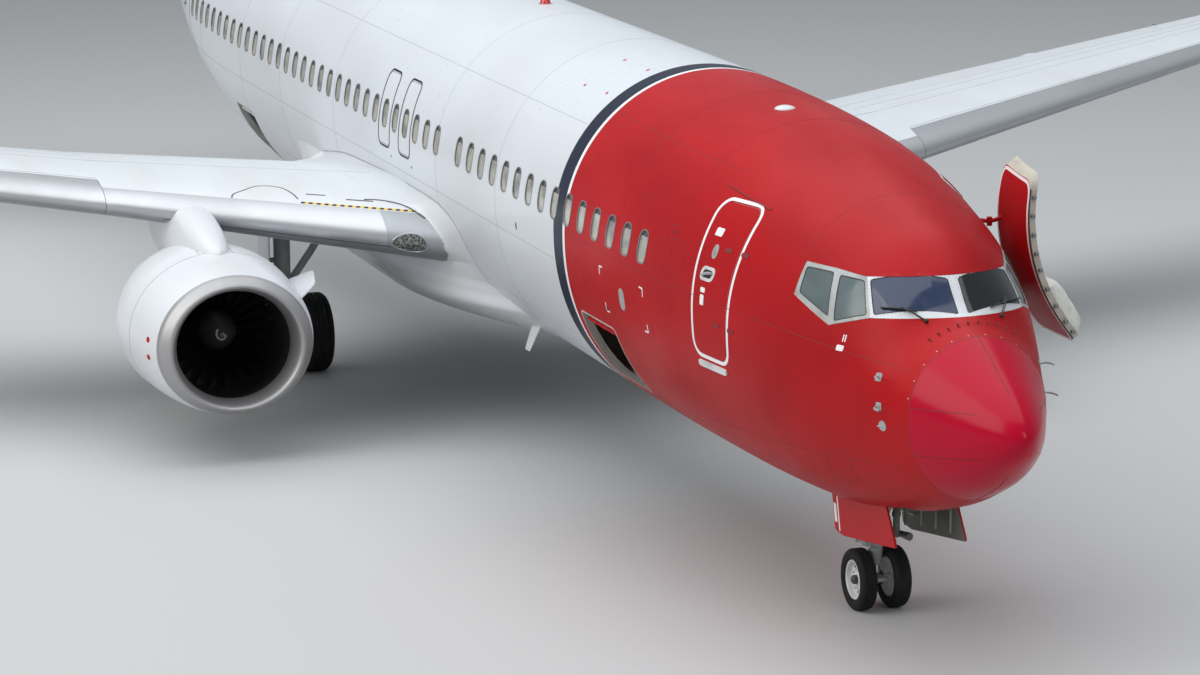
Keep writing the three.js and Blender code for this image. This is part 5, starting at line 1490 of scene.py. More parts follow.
def ring_of(shape, centre, sense, radius, out, start=0.0):
    """Ten copies of a small part in a ring on a wheel's outer face."""
    turn = circle(10) + start
    places = centre + np.stack([radius * np.cos(turn), np.full(10, sense * out), radius * np.sin(turn)], -1)
    return scatter(shape, places, (0.0, sense, 0.0))


def rim_parts(gear, centre, sense):
    """A wheel's rim: a dished disc turned about the axle, and its ring of bolts."""
    r, w = gear["rim"] - 0.001, gear["width"] / 2
    rows = [(0.004, 0.3), (0.3, 0.3), (0.34, 0.22), (0.62, 0.1), (0.8, 0.22), (0.88, 0.66), (0.97, 0.76),
            (1.0, 0.7), (1.0, -0.7), (0.97, -0.76), (0.88, -0.6), (0.7, -0.3), (0.3, -0.34), (0.004, -0.34)]
    bolt = lathe([(0.06 * r, -0.02), (0.06 * r, 0.018), (0.04 * r, 0.026)], (0, 0, 0), UP, 6)
    return [lathe(np.array(rows) * (r, sense * w), centre, (0, 1, 0), 60),
            ring_of(bolt, centre, sense, 0.52 * r, 0.14 * w)]


def hole_shades_and_cap(gear, centre, sense):
    """Dark discs that paint the shade in the vent holes of a rim's web, between its bolts and its edge, and
    its hub cap.
    """
    r, w = gear["rim"], gear["width"] / 2
    hole = lathe([(0.07 * r, -0.004), (0.07 * r, 0.003), (0.06 * r, 0.004)], (0, 0, 0), UP, 14)
    cap = lathe([(0.22 * r, 0), (0.22 * r, 0.045), (0.15 * r, 0.06), (0.02 * r, 0.065)],
                centre + (0, sense * 0.28 * w, 0), (0, sense, 0), 32)
    return merged([ring_of(hole, centre, sense, 0.68 * r, 0.13 * w, math.pi / 10), cap])


def wheel_pair(label, gear, centre, body, nodes, tyres):
    """Two tyres and their rims on the axle that turns with them."""
    rims, dark = [], []
    for sense, node in zip((1, -1), tyres):
        middle_point = centre + (0, sense * gear["side"], 0)
        make(node + "_tread", tyre(gear, middle_point), rubber, body, [node])
        rims += rim_parts(gear, middle_point, sense)
        dark.append(hole_shades_and_cap(gear, middle_point, sense))
    end = np.array([0, gear["side"], 0])
    rims.append(rod(centre - end, centre + end, 0.12 * gear["radius"]))
    make(f"{label}_rims", rims, rim_grey, body, nodes)
    # The hub caps' object also holds the dark discs that paint the shade in the vent holes.
    make(f"{label}_hub_caps_and_hole_shades", dark, trim, body)


nose_axle = np.array([NOSE_GEAR["s"], 0, NOSE_GEAR["axle"]])
wheel_pair("nose_wheel", NOSE_GEAR, nose_axle, "nose_wheel_pair", ["nose_wheels"],
           ["nose_left_tyre", "nose_right_tyre"])
for name, side in SIDES.items():
    axle = np.array([MAIN_GEAR["s"], side * MAIN_GEAR["y"], MAIN_GEAR["axle"]])
    tyres = [f"{name}_{place}_main_tyre" for place in ("outer", "inner")[::side]]
    wheel_pair(f"{name}_main_wheel", MAIN_GEAR, axle, f"{name}_main_wheel_pair", [f"{name}_main_wheels"],
               tyres)
print("tyre radii, in metres:", NOSE_GEAR["radius"], MAIN_GEAR["radius"])

# %% Nose gear leg
def links(centre, top, bottom, reach, width, direction):
    """A pair of torque links: two arms up and two down, that meet at a pin out from the leg."""
    foot_line, direction = np.asarray(centre) * (1, 1, 0), np.array(direction)
    across = np.cross(direction, UP) * width / 2
    knee = foot_line + direction * reach + (0, 0, (top + bottom) / 2)
    parts = []
    for step in (-across, across):
        for z in (top, bottom):
            foot = foot_line + (0, 0, z) + 1.6 * step + 0.05 * direction
            parts.append(tube(spline([foot, (foot + knee + step) / 2, knee + step], 3), 0.016, 10))
    return parts + [rod(knee - 1.5 * across, knee + 1.5 * across, 0.022, sides=16)]


def bar(s, half, z, radius, sides=20):
    """A round bar across the airframe."""
    return rod((s, -half, z), (s, half, z), radius, sides=sides)


s = NOSE_GEAR["s"]
outer = [(0.070, 0), (0.078, 0.01), (0.078, 0.55), (0.09, 0.57), (0.09, 0.68), (0.08, 0.70), (0.08, 1.59)]
leg = [lathe(outer, (s, 0, 0.70), UP, 40), bar(s, 0.2, 1.62, 0.05)]
for y in (-0.16, 0.16):
    brace = [(s - 0.05, 0.4 * y, 1.02), (s - 0.45, 0.7 * y, 1.5), (s - 1.15, y, 2.2)]
    leg.append(tube(spline(brace, 5), 0.035, 14))
leg.append(bar(s - 1.15, 0.36, 2.2, 0.05))
leg += [rod((s - 0.13, y, 0.77), (s + 0.16, y, 0.77), 0.036, sides=18) for y in (-0.15, 0.15)]
leg += [bar(s - 0.02, 0.17, z, 0.025, 16) for z in (0.745, 0.80)]
leg += [rod((s + 0.10, y, 0.74), (s + 0.10, y, 0.85), 0.022, sides=14) for y in (-0.19, -0.11, 0.13)]
make("nose_gear_outer_strut", leg, shaded_gear_paint, replaces=["nose_gear_leg"])
hoses = []
for k, y in enumerate((-0.075, 0.075, 0.0)):
    route = [(s + 0.09, y, 1.7), (s + 0.10 + 0.02 * k, y, 1.3), (s + 0.105, 0.8 * y, 1.0),
             (s + 0.10, 0.6 * y, 0.85)]
    hoses.append(tube(spline(route, 6), 0.009, 8))
make("nose_gear_hoses", hoses, black)
shell = lathe([(0.075, 0), (0.08, 0.02), (0.06, 0.07), (0.02, 0.09)], (s - 0.13, 0, 1.16), (1, 0, 0), 32)
make("taxi_lamp_body", [shell, rod((s - 0.06, 0, 1.16), (s, 0, 1.16), 0.03)], shaded_gear_paint)
lens = lathe([(0.068, 0), (0.068, 0.006), (0.04, 0.01)], (s - 0.128, 0, 1.16), (-1, 0, 0), 32)
make("taxi_lamp_lens", lens, lamp)
fork = [rod((s, 0, NOSE_GEAR["axle"]), (s, 0, 0.699), 0.045, sides=32),
        lathe([(0.05, -0.075), (0.078, -0.06), (0.078, 0.06), (0.05, 0.075)], nose_axle, (0, 1, 0), 32)]
make("nose_gear_ram", fork, gear_steel, "nose_gear_lower", ["nose_gear_fork"])
lower = links((s, 0, 0), 0.66, 0.40, 0.17, 0.07, (1.0, 0, 0))
lower += [lathe([(0.055, 0), (0.068, 0.012), (0.068, 0.19), (0.06, 0.199)], (s, 0, 0.50), UP, 36),
          bar(s - 0.13, 0.075, 0.35, 0.03), bar(s - 0.13, 0.09, 0.35, 0.014, 12),
          box_part((s - 0.13, s - 0.04), (-0.03, 0.03), (0.32, 0.38), 0.008)]
make("nose_gear_links_and_tow_fitting", lower, shaded_gear_paint, "nose_gear_lower")
print("nose gear stands at s", s)

# %% [markdown]
# The nose gear doors hang at each side of the bay. Each is a thin plate, painted outside, and dark inside,
# where the paint is darkened to paint the shade there. It has a white line and a blank plate near its rear
# edge, and a rod that ties it to the leg. A jack with its rods stands between them, in the same darkened
# paint.

# %% Nose gear doors
NOSE_DOOR = np.array([(2.92, 1.50), (4.46, 1.29), (4.36, 0.88), (4.12, 0.865), (2.64, 1.09)])
DOOR_Y, DOOR_THICK = 0.385, 0.03
for name, side in SIDES.items():
    flat = evenly(soft_corners(NOSE_DOOR, 0.035), 0.03)
    ring = np.stack([flat[:, 0], np.full(len(flat), side * DOOR_Y), flat[:, 1]], -1)
    small = ring.mean(0) + (ring - ring.mean(0)) * (0.992, 1, 0.985)
    outer = np.array([0, side * DOOR_THICK, 0])
    plate = rings_to_part(np.stack([small, ring + 0.2 * outer, ring + 0.8 * outer, small + outer]))
    door = make(f"{name}_nose_gear_door_plate", plate, red, replaces=[f"{name}_nose_gear_door"])
    _, outside = centres(door)
    # The door's inner face takes the darkened paint that paints the shade on it.
    paint(door, shaded_bay_paint, side * outside[:, 1] < -0.5)
    y = side * (DOOR_Y + DOOR_THICK)
    line_path = evenly([(4.30, y, 1.27), (4.21, y, 0.90)], 0.05, False)
    label = rounded((4.335, 1.08), (0.07, 0.20), 0.01)
    label = np.stack([label[:, 0] + 0.25 * (label[:, 1] - 1.08), np.full(len(label), y), label[:, 1]], -1)
    make(f"{name}_nose_gear_door_line", [ribbon(line_path, (0, side, 0), 0.03, 0.002, 0.004, False),
                                         prism(label, (0, side, 0), -0.004, 0.005)], line_white)
    fittings = [rod((4.02, side * 0.375, 1.06), (NOSE_GEAR["s"], side * 0.07, 1.18), 0.016, sides=12)]
    fittings += [rod((at - 0.05, side * 0.375, z), (at + 0.05, side * 0.375, z), 0.022, sides=12)
                 for at, z in ((3.1, 1.42), (3.5, 1.365), (3.9, 1.32), (4.3, 1.27))]
    fittings += [box_part((at, at + 0.03), sorted((side * 0.37, side * 0.386)), (z, z + 0.26), 0.003)
                 for at, z in ((3.0, 1.10), (3.4, 1.04), (3.8, 0.98))]
    make(f"{name}_nose_gear_door_fittings", fittings, shaded_gear_paint)
JACK_RODS = [  # both ends and both radii
    ((3.3, -0.26, 1.4), (3.3, 0.1, 1.4), 0.03, 0.03), ((3.18, -0.02, 1.05), (3.4, -0.08, 1.05), 0.045, 0.03),
    ((3.28, -0.03, 1.16), (3.28, -0.03, 1.65), 0.018, 0.018),
    ((3.42, -0.24, 1.2), (3.36, -0.24, 1.62), 0.026, 0.026),
]
JACK = [(0.03, 0), (0.045, 0.01), (0.045, 0.04), (0.038, 0.05), (0.038, 0.22), (0.05, 0.24), (0.05, 0.27),
        (0.04, 0.29), (0.04, 0.70)]
jack = lathe(JACK, (3.30, -0.13, 1.03), UP, 28)
make("nose_gear_door_jack", [jack] + [rod(*row) for row in JACK_RODS], shaded_bay_paint)
print("nose gear doors reach down to z", NOSE_DOOR[:, 1].min())

# %% [markdown]
# A main leg stands between its two wheels: a thick strut, a bright ram below it, a brace towards the
# body and a pair of links behind. Each wheel has a drum for its brake and a hose that runs down to
# it, and a plain plate outboard of the leg closes the bay when the gear is up.

# %% Main gear legs
for name, side in SIDES.items():
    def out(reach, z, back=0.0):
        """A point in the plane of a main leg, a reach outboard of it."""
        return np.array([MAIN_GEAR["s"] + back, side * (MAIN_GEAR["y"] + reach), z])

    s, axle_z = MAIN_GEAR["s"], MAIN_GEAR["axle"]
    outer = [(0.11, 0), (0.135, 0.02), (0.135, 0.14), (0.12, 0.16), (0.12, 1.0), (0.135, 1.02),
             (0.135, 1.12), (0.12, 1.14), (0.12, 1.9)]
    strut = [lathe(outer, out(0, 0.64), UP, 44)]
    strut += [tube(np.stack([out(-0.06, 0.9), out(-0.4, 1.36), out(-0.76, 1.9)]), 0.055, 18)]
    strut += links(out(0, 0), 0.72, 0.34, 0.3, 0.12, (-1.0, 0, 0))
    strut += [rod(out(-0.13, axle_z), out(0.13, axle_z), 0.125, sides=40)]
    make(f"{name}_main_strut", strut, shaded_gear_paint, replaces=[f"{name}_main_gear_leg"])
    make(f"{name}_main_ram", rod(out(0, axle_z), out(0, 0.7), 0.085, sides=36), gear_steel)
    plate_y = sorted((out(0.25, 0)[1], out(0.275, 0)[1]))
    make(f"{name}_main_gear_door", box_part((s - 0.33, s + 0.33), plate_y, (0.9, 2.2), 0.008), plain_white)
    arms = [rod(out(0, z), out(0.262, z), 0.035, sides=14) for z in (1.3, 1.9)]
    drum = [(0.15, 0), (0.24, 0.01), (0.24, 0.10), (0.15, 0.11)]
    brake = [lathe(drum, out(sense * 0.19, axle_z), (0, sense, 0), 40) for sense in (1, -1)]
    make(f"{name}_brakes_and_arms", arms + brake, steel)
    hoses = [tube(spline([out(-0.02, 1.9, 0.14), out(-0.03, 1.2, 0.15), out(sense * 0.12, 0.7, 0.14),
                          out(sense * 0.2, 0.42, 0.06)], 6), 0.012, 8) for sense in (1, -1)]
    make(f"{name}_brake_hoses", hoses, black)
print("main gear legs:", [f"{name}_main_strut" for name in SIDES])
# %% [markdown]
# ## Tail
# The photograph hides the tail, so it follows the type: a tall swept fin with a long strake ahead
# of it, and a tailplane set high on the tail cone. They are lifting surfaces with no camber. The
# rudder and the elevators are the frame's own solids, and the space for them is cut as it was there.

# %% Fin and tailplane
FIN = np.array([  # height, leading edge, chord, offset and thickness
    (4.70, 30.66, 6.75, 0.0, 0.10), (11.3, 36.44, 2.12, 0.0, 0.10), (11.79, 37.06, 1.48, 0.0, 0.09),
])
TAILPLANE = np.array([(0.35, 33.09, 4.28, 4.33, 0.10), (7.10, 37.99, 1.74, 5.15, 0.09)])
RUDDER = dict(start=5.6, stop=11.3, depth=0.3, gap=0.014, end_gap=0.095)
ELEVATOR = dict(start=1.17, stop=6.76, depth=0.3, gap=0.014, end_gap=0.06)
TAIL_METAL, STRAKE_LOW = 0.045, 5.0
spans = np.unique(np.concatenate([FIN[:, 0], np.linspace(4.7, 11.7, 24), [11.76]]))
z, s, _, offset = surface_rings(FIN, spans)
fin = make("fin_skin", rings_to_part(np.stack([s, offset, z], -1)), plain_white, replaces=["vertical_fin"])
clear_control(fin, hinge_space(FIN, RUDDER), RUDDER["gap"], 4, lambda ring: through(ring, 0),
              lambda s, z, _: (s, 0, z))
middle, _ = centres(fin)
paint(fin, bare, chord_share(FIN, middle, middle[:, 2]) < TAIL_METAL)

t, turn = np.linspace(0, 1, 40)[:, None], circle(32)
y, top = (0.02 + 0.20 * t) * np.cos(turn), 5.22 + 1.35 * t**1.7
z = STRAKE_LOW + np.where(np.sin(turn) > 0, top - STRAKE_LOW, 0.1) * np.sin(turn)
make("fin_strake", rings_to_part(np.stack([27.6 + 5.2 * t + 0 * y, y, z], -1)), plain_white)

spans = np.unique(np.concatenate([TAILPLANE[:, 0], np.linspace(0.35, 7.0, 20), [7.07]]))
y, s, height, offset = surface_rings(TAILPLANE, spans)
for name, side in SIDES.items():
    whole = rings_to_part(np.stack([s, side * y, height + offset], -1))
    plane = make(f"{name}_tailplane_skin", whole, wing_grey, replaces=[f"{name}_stabiliser"])
    clear_control(plane, hinge_space(TAILPLANE, ELEVATOR), ELEVATOR["gap"], 3, lambda ring: plan(ring, side),
                  lambda s, y, z: (s, side * y, z))
    middle, _ = centres(plane)
    paint(plane, bare, chord_share(TAILPLANE, middle, np.abs(middle[:, 1])) < TAIL_METAL)
nozzle = [(0.225, -0.05), (0.225, 0.012), (0.17, 0.012), (0.16, -0.05)]
make("auxiliary_exhaust", lathe(nozzle, (TAIL_END, 0, 4.495), (1, 0, 0), 40), hot)
print("tailplane spans", 2 * TAILPLANE[-1, 0], "m")

# %% [markdown]
# ## Doors that move
# The overwing exits swing up about their top edges. Each panel is a thin shell of the skin with its
# own window, and its navy outline is painted on the skin round it, as the frame's joint leaves room
# for. The entry door stands open: it is made closed, with its rollers and its padded slide cover,
# and the whole of it is turned about the leaning hinge line as one.

# %% Overwing exits
EXIT_GAP, EXIT_DEEP = 0.008, 0.065
lines = []
for name, side in SIDES.items():
    for place, door in EXITS.items():
        body = f"{name}_{place}_overwing_exit"
        shell = hull(door["s"] - 0.5, door["s"] + 0.5)
        panel_object = make(f"{body}_panel", shell, plain_white, body, [body])
        carve(panel_object, hull(door["s"] - 0.6, door["s"] + 0.6, -EXIT_DEEP))
        carve(panel_object, through(outline(door, EXIT_GAP), side, 1.5), "INTERSECT")
        carve(panel_object, window_recess(door["s"], side))
        middle, _ = centres(panel_object)
        paint(panel_object, lining, level(middle) < -0.02)
        at = (door["s"], side)
        make(f"{body}_rim", window_rim(*at), rim, body)
        make(f"{body}_shade", window_slab(*at, 0, SHADE_TOP), pane, body)
        # Over the exit window's pale shade, near-black glass that also paints the shadow under the recess's
        # upper edge.
        make(f"{body}_glass", window_slab(*at, SHADE_TOP, 9, top=0.015), shadow_strip_glass, body)
        lines.append(door_line(door, side, 0.03, 0.025))
        lines.append(plate_on(door["s"] - 0.34, door["sill"] - 0.12, side, (0.035, 0.035)))
make("overwing_exit_lines", lines, navy)
print(len(EXITS) * 2, "overwing exits")

# %% Open entry door
HINGE_S, HINGE_TURN = 4.49, math.radians(172)
hinge_foot = lay(HINGE_S, ENTRY["sill"], 1) + (0, 0.27, 0)
hinge_head = lay(HINGE_S, ENTRY["head"], 1) + (0, 0.383, 0)


def swung(points):
    """Points of the closed entry door, turned to where they are when it's open."""
    return turned((points, None), hinge_foot, hinge_head - hinge_foot, HINGE_TURN)[0]


def swing(obj):
    """Turns a piece of the entry door from closed to open about its hinge line."""
    verts = np.zeros(len(obj.data.vertices) * 3)
    obj.data.vertices.foreach_get("co", verts)
    obj.data.vertices.foreach_set("co", world(swung(airframe(verts.reshape(-1, 3)))).ravel())
    obj.data.update()
    return obj


entry = swing(door_panel("front_entry_door", ENTRY, 1, red, 0.8))
rear_edge = ENTRY["s"] + ENTRY["width"] / 2 - DOOR_GAP
heights = np.array([2.93, 3.08, 3.30, 3.52, 3.75, 3.93, 4.12, 4.30, 4.46])
foot = lay(np.full(len(heights), rear_edge), heights, 1, -0.045)
roller = [(0.018, -0.01), (0.018, 0.02), (0.024, 0.022), (0.024, 0.04), (0.016, 0.045)]
rollers = scatter(lathe(roller, (0, 0, 0), UP, 14), foot, (1.0, 0, 0), UP)
swing(make("entry_door_rollers", rollers, steel))
path = lay(np.full(24, rear_edge), np.linspace(2.86, 4.55, 24), 1, -0.006)
swing(make("entry_door_seal", ribbon(path, (1.0, 0, 0), 0.012, 0.006, 0.004, False), black))
swing(make("entry_door_border", door_line(ENTRY, 1, 0.036, -0.026), line_white))

SLIDE = dict(s=4.95, z=3.15, size=(0.68, 0.62), deep=0.20)
uu, vv = np.meshgrid(np.linspace(-1, 1, 21), np.linspace(-1, 1, 17), indexing="ij")
swell = (1 - np.abs(uu) ** 5) ** 0.5 * (1 - np.abs(vv) ** 5) ** 0.5
grid_s, grid_z = SLIDE["s"] + uu * SLIDE["size"][0] / 2, SLIDE["z"] + vv * SLIDE["size"][1] / 2
back = lay(grid_s, grid_z, 1, -DOOR_DEEP - 0.016)
creases = 0.006 * np.sin(9 * uu + 2 * vv) * np.sin(7 * vv - uu)
front_face = back - np.stack([0 * uu, SLIDE["deep"] * (0.2 + 0.8 * swell) + creases, 0 * uu], -1)


def pillow(front_grid, back_grid):
    """Two grids joined along their edges into one closed cushion."""
    n, m = front_grid.shape[:2]
    index = np.arange(n * m).reshape(n, m)
    quads = np.stack([index[:-1, :-1], index[1:, :-1], index[1:, 1:], index[:-1, 1:]], -1).reshape(-1, 4)
    flipped = quads[:, ::-1] + n * m
    edge = np.concatenate([index[0, :-1], index[:-1, -1], index[-1, :0:-1], index[:0:-1, 0]])
    nxt = np.roll(edge, -1)
    wall = np.stack([edge, edge + n * m, nxt + n * m, nxt], -1)
    four = np.concatenate([quads, flipped, wall])
    faces = np.concatenate([four[:, [0, 1, 2]], four[:, [0, 2, 3]]])
    return outward(np.concatenate([front_grid.reshape(-1, 3), back_grid.reshape(-1, 3)]), faces)


lining_s, lining_z = ENTRY["s"] + 0.36 * uu, 3.70 + 0.84 * vv
lining_back, lining_face = [lay(lining_s, lining_z, 1, -DOOR_DEEP + step) for step in (0.004, -0.018)]
swing(make("entry_door_lining", pillow(lining_face, lining_back), lining))
slide = swing(make("entry_door_slide_cover", pillow(front_face, back), cloth, sharp=60))
arms = []
for z in (4.16, 3.38):
    on_body = lay(4.56, z, 1, -0.03)
    share = (z - hinge_foot[2]) / (hinge_head[2] - hinge_foot[2])
    on_line = hinge_foot + share * (hinge_head - hinge_foot)
    on_door = swung(lay(4.62, z, 1, -0.02)[None])[0]
    arms.append(tube(spline([on_body, (on_body + on_line) / 2 + (0.04, 0, 0), on_line], 5), 0.024, 14))
    arms.append(tube(spline([on_line, (on_line + on_door) / 2 - (0.02, 0, 0), on_door], 5), 0.024, 14))
    arms.append(rod(on_line - (0, 0, 0.05), on_line + (0, 0, 0.05), 0.031, sides=24))
make("entry_door_hinge_arms", arms, red)
want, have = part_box("front_entry_door"), np.array([entry.bound_box[0], entry.bound_box[6]])
print("open door, frame's box and the panel's:", np.round(want, 2).tolist(), np.round(have, 2).tolist())

# %% [markdown]
# ## Small fittings
# What makes the nose look real is small: a row of little vortex fins behind the nose cone, probes
# that feel the air, lightning strips, antennas, and lamps. Each is one small part, copied by arrays
# of places on the skin where there are several.

# %% Nose fittings
arc = spline([(1.677, -0.447, 3.534), (1.70, 0.04, 3.66), (1.756, 0.53, 3.518)], 6)
arc = onto(evenly(arc, 0.093, False))
fin_outline = [(-0.032, 0, -0.002), (0.036, 0, -0.002), (0.036, 0, 0.026), (0.01, 0, 0.028)]
# The fins take the dark seam red, which paints their own shade and the small shadows they throw on the red
# skin.
make("vortex_fins", scatter(prism(fin_outline, (0, 1, 0), -0.005, 0.005), arc, facing(arc)), red_line)

STRIPS = [((1.517, 0.0, 3.592), (0.661, -0.011, 3.135)), ((1.47, -0.771, 2.89), (0.709, -0.348, 2.949)),
          ((1.47, 0.771, 2.89), (0.709, 0.348, 2.949)), ((1.476, -0.698, 2.389), (0.67, -0.326, 2.497)),
          ((1.476, 0.698, 2.389), (0.67, 0.326, 2.497)), ((1.47, 0.0, 1.87), (0.70, 0.0, 2.29))]
make("lightning_strips", [mark(pair, 0.008, False, 0.002) for pair in STRIPS], red_line)
ring = skin(np.full(161, NOSE_JOINT), np.linspace(0, 2 * np.pi, 161))
make("nose_cone_gap", ribbon(ring, facing(ring), 0.009, 0.0008, 0.006, False), red_line)
ring = onto(skin(np.full(12, NOSE_JOINT + 0.03), np.linspace(0.25, 2.9, 12)))
make("nose_cone_latches", scatter(stud, ring, facing(ring)), line_white)


def probe(s, z, side):
    """An air probe: a plate, a short bent stalk and a tube that points forward."""
    foot = lay(s, z, side)
    out = facing(foot[None])[0]
    stalk = spline([foot, foot + 0.06 * out + (-0.01, 0, 0), foot + 0.09 * out + (-0.06, 0, 0)], 4)
    return [tube(stalk, 0.010, 10), tube(spline([stalk[-1], stalk[-1] - (0.09, 0, 0)], 3), 0.010, 10),
            plate_on(s, z, side, (0.075, 0.085), 0.01, 0.004)]


probes = []
for side in (1, -1):
    for s, z in ((1.944, 3.126), (1.892, 2.83)):
        probes += probe(s, z, side)
    hub = lay(1.85, 2.632, side)
    out = facing(hub[None])[0]
    probes += [lathe([(0.055, -0.004), (0.055, 0.004), (0.02, 0.008)], hub, out, 24),
               rod(hub, hub + 0.05 * out + (0.05, 0, 0), 0.012, 0.006, 12)]
make("air_probes", probes, frame_paint)

# %% Antennas, lamps and seams
def blades_on(places, length, height, lean=0.35, plumb=0.0):
    """Swept blades that stand on the skin: a lens section that shrinks towards its tip, copied to
    each place along the skin's outward direction, or turned from it towards straight down."""
    turn, rings = circle(20), []
    for share, wide in ((0.0, 0.1), (0.4, 0.1), (0.8, 0.1), (0.97, 0.04)):
        size = length * (1 - 0.45 * share)
        ring_s = size / 2 * np.cos(turn) + lean * height * share
        rings.append(np.stack([ring_s, wide * size * np.sin(turn), share * height - 0.03 + 0 * turn], -1))
    at = onto(np.array(places))
    return scatter(rings_to_part(rings), at, facing(at) - (0, 0, plumb))


antennas = blades_on([(21.4, 0, 5.2), (9.95, 0, 1.3), (24.6, 0, 1.3)], 0.32, 0.28)
make("blade_antennas", antennas, plain_white)
turn = np.linspace(0.05, np.pi / 2, 8)
dome = np.stack([0.12 * np.sin(turn), 0.045 * np.cos(turn) - 0.01], -1)[::-1]
domes = [lathe(dome, onto(np.array([[s, y, 5.2]]))[0], UP, 40) for s, y in ((6.66, -0.12), (17.9, 0.0))]
make("dome_antennas", domes, plain_white)
lamp_shape = np.stack([0.075 * np.sin(turn), 0.10 * np.cos(turn)], -1)[::-1]
make("crown_beacon", lathe(lamp_shape, (15.98, 0, 5.275), UP, 32), red_lamp)
make("belly_beacon", lathe(lamp_shape, (15.2, 0, 1.005), (0, 0, -1), 32), red_lamp)
bases = [lathe([(0.1, -0.01), (0.1, 0.012), (0.078, 0.016)], place, axis, 32)
         for place, axis in (((15.98, 0, 5.27), UP), ((15.2, 0, 1.01), (0, 0, -1)))]
make("beacon_bases", bases, frame_paint)
DOTS = [(11.0, -0.555, 5.195), (10.936, -1.095, 4.925), (10.134, -1.079, 4.936), (10.102, -0.567, 5.192)]
small = 0.03 * np.stack([np.cos(circle(10)), np.sin(circle(10)), np.zeros(10)], -1)
make("crown_marks", [patch(onto(np.array(place) + small)) for place in DOTS], red)
port = lay(11.333 + 0.028 * np.cos(turn * 4), 3.161 + 0.05 * np.sin(turn * 4), -1)
make("side_port", patch(port, 0.001, 0.02), black)

SEAMS = [  # on the starboard side, mirrored to port: the ends in s and z
    ((1.6, 3.24), (3.4, 3.38)), ((3.4, 3.38), (5.9, 3.42)), ((1.7, 2.2), (5.9, 1.9)),
    ((5.95, 3.40), (9.3, 3.43)), ((5.4, 4.72), (9.3, 4.84)), ((5.5, 1.75), (9.3, 1.7)),
]
SEAM_WIDE = 0.006
turn = np.linspace(0.02, 2 * np.pi - 0.02, 150)


def hoop_seam(station, low):
    """A seam over the top of the body at a station, down to a height on both sides."""
    ring = skin(np.full(150, station), turn)
    return mark(ring[ring[:, 2] > low], SEAM_WIDE, False)


red_seams = [mark(lay(*np.linspace(a, b, 24).T, side), SEAM_WIDE, False)
             for a, b in SEAMS for side in (1, -1)]
red_seams += [hoop_seam(station, low) for station, low in ((3.55, 4.2), (6.02, 3.4), (7.6, 3.4))]
make("red_skin_seams", red_seams, red_line)
gutter = lay(np.linspace(4.478, 5.472, 12), np.linspace(4.452, 4.571, 12), -1)
make("door_gutter", [mark(gutter * (1, side, 1), 0.014, False, 0.012) for side in (1, -1)], red_line)
white_seams = [mark(lay(np.linspace(9.85, 33.0, 60), np.full(60, z), side), SEAM_WIDE, False)
               for z in (3.02, 4.62, 2.05) for side in (1, -1)]
for station in (12.2, 14.9, 20.2, 23.4, 26.0, 29.2, 31.9):
    ring = skin(np.full(150, station), turn)
    white_seams.append(mark(ring[ring[:, 2] > 2.95][1:-1], SEAM_WIDE, False))
make("white_skin_seams", white_seams, grey_line)
print("seams:", len(red_seams) + len(white_seams))

# %% Masts, lights and small panels
LAMP = dict(span=2.25, arc=-0.06, half_long=0.21, half_tall=0.15)


def on_nose(side, span, arc, grow):
    """Points on the wing's leading edge at a span and at a distance round the nose, above it or
    (less than 0) below: the distance is read back to a share of the chord from a table of them."""
    lead, chord, _, thickness = at_span(WING, LAMP["span"])
    share = np.linspace(0, 0.3, 61) ** 2
    length = np.hypot(np.diff(share * chord), np.diff(airfoil(share) * thickness * chord))
    table = np.concatenate([[0], np.cumsum(length)])
    return on_wing(side, span, np.interp(np.abs(arc), table, share), np.where(arc < 0, -1, 1)) - (grow, 0, 0)


def lamp_face(side, across, up, grow):
    """Points of the lamp: across and up are shares of its half length and half height."""
    return on_nose(side, LAMP["span"] + LAMP["half_long"] * across,
                   LAMP["arc"] + LAMP["half_tall"] * (1 - 0.25 * across) * up, grow)


masts = blades_on([(13.2, -1.0, 1.56), (27.0, 0.3, 1.3)], 0.34, 0.44, 0.4, 1.6)
make("drain_masts", masts, plain_white)
round_u, round_v = uu * np.sqrt(1 - vv**2 / 2), vv * np.sqrt(1 - uu**2 / 2)
for name, side in SIDES.items():
    lens, behind = [lamp_face(side, round_u, round_v, grow) for grow in (0.004, -0.05)]
    make(f"{name}_root_lamp_lens", pillow(lens, behind), lamp_lens)
    edge_ring = lamp_face(side, np.cos(circle(60)), np.sin(circle(60)), 0.001)
    make(f"{name}_root_lamp_rim", tube(edge_ring, 0.011, 8, True), bare)
wicks = []
for side in (1, -1):
    for span in (12.6, 13.6, 14.6, 15.5):
        back = on_wing(side, span, 1.0)
        wicks.append(tube(spline([back - (0.05, 0, 0), back + (0.16, 0, -0.01)], 3), 0.004, 6))
make("static_wicks", wicks, black)
corners = np.array([(2.52, 2.24), (2.92, 2.16), (3.02, 1.80), (2.62, 1.86)])
frame_line = mark(lay(*evenly(soft_corners(corners, 0.05), 0.03).T, -1), 0.010)
rear_line = mark(lay(*evenly(rounded((7.05, 4.16), (0.24, 0.13), 0.03), 0.02).T, -1), 0.006)
ports = [mark(lay(*evenly(rounded((s, z), (0.20, 0.14), 0.03), 0.02).T, side), 0.007)
         for s, z in ((6.05, 3.98), (6.62, 2.75)) for side in (1, -1)]
make("access_panel_lines", [frame_line, rear_line] + ports, red_line)
plates = [plate_on(6.05, 3.98, side, (0.035, 0.035)) for side in (1, -1)]
plates += [plate_on(8.0, 2.75, side, (0.05, 0.05)) for side in (1, -1)]
make("small_ports", plates, black)
make("static_plates", [plate_on(7.404, 2.974, side, (0.17, 0.26), 0.08) for side in (1, -1)], frame_paint)
brackets = []
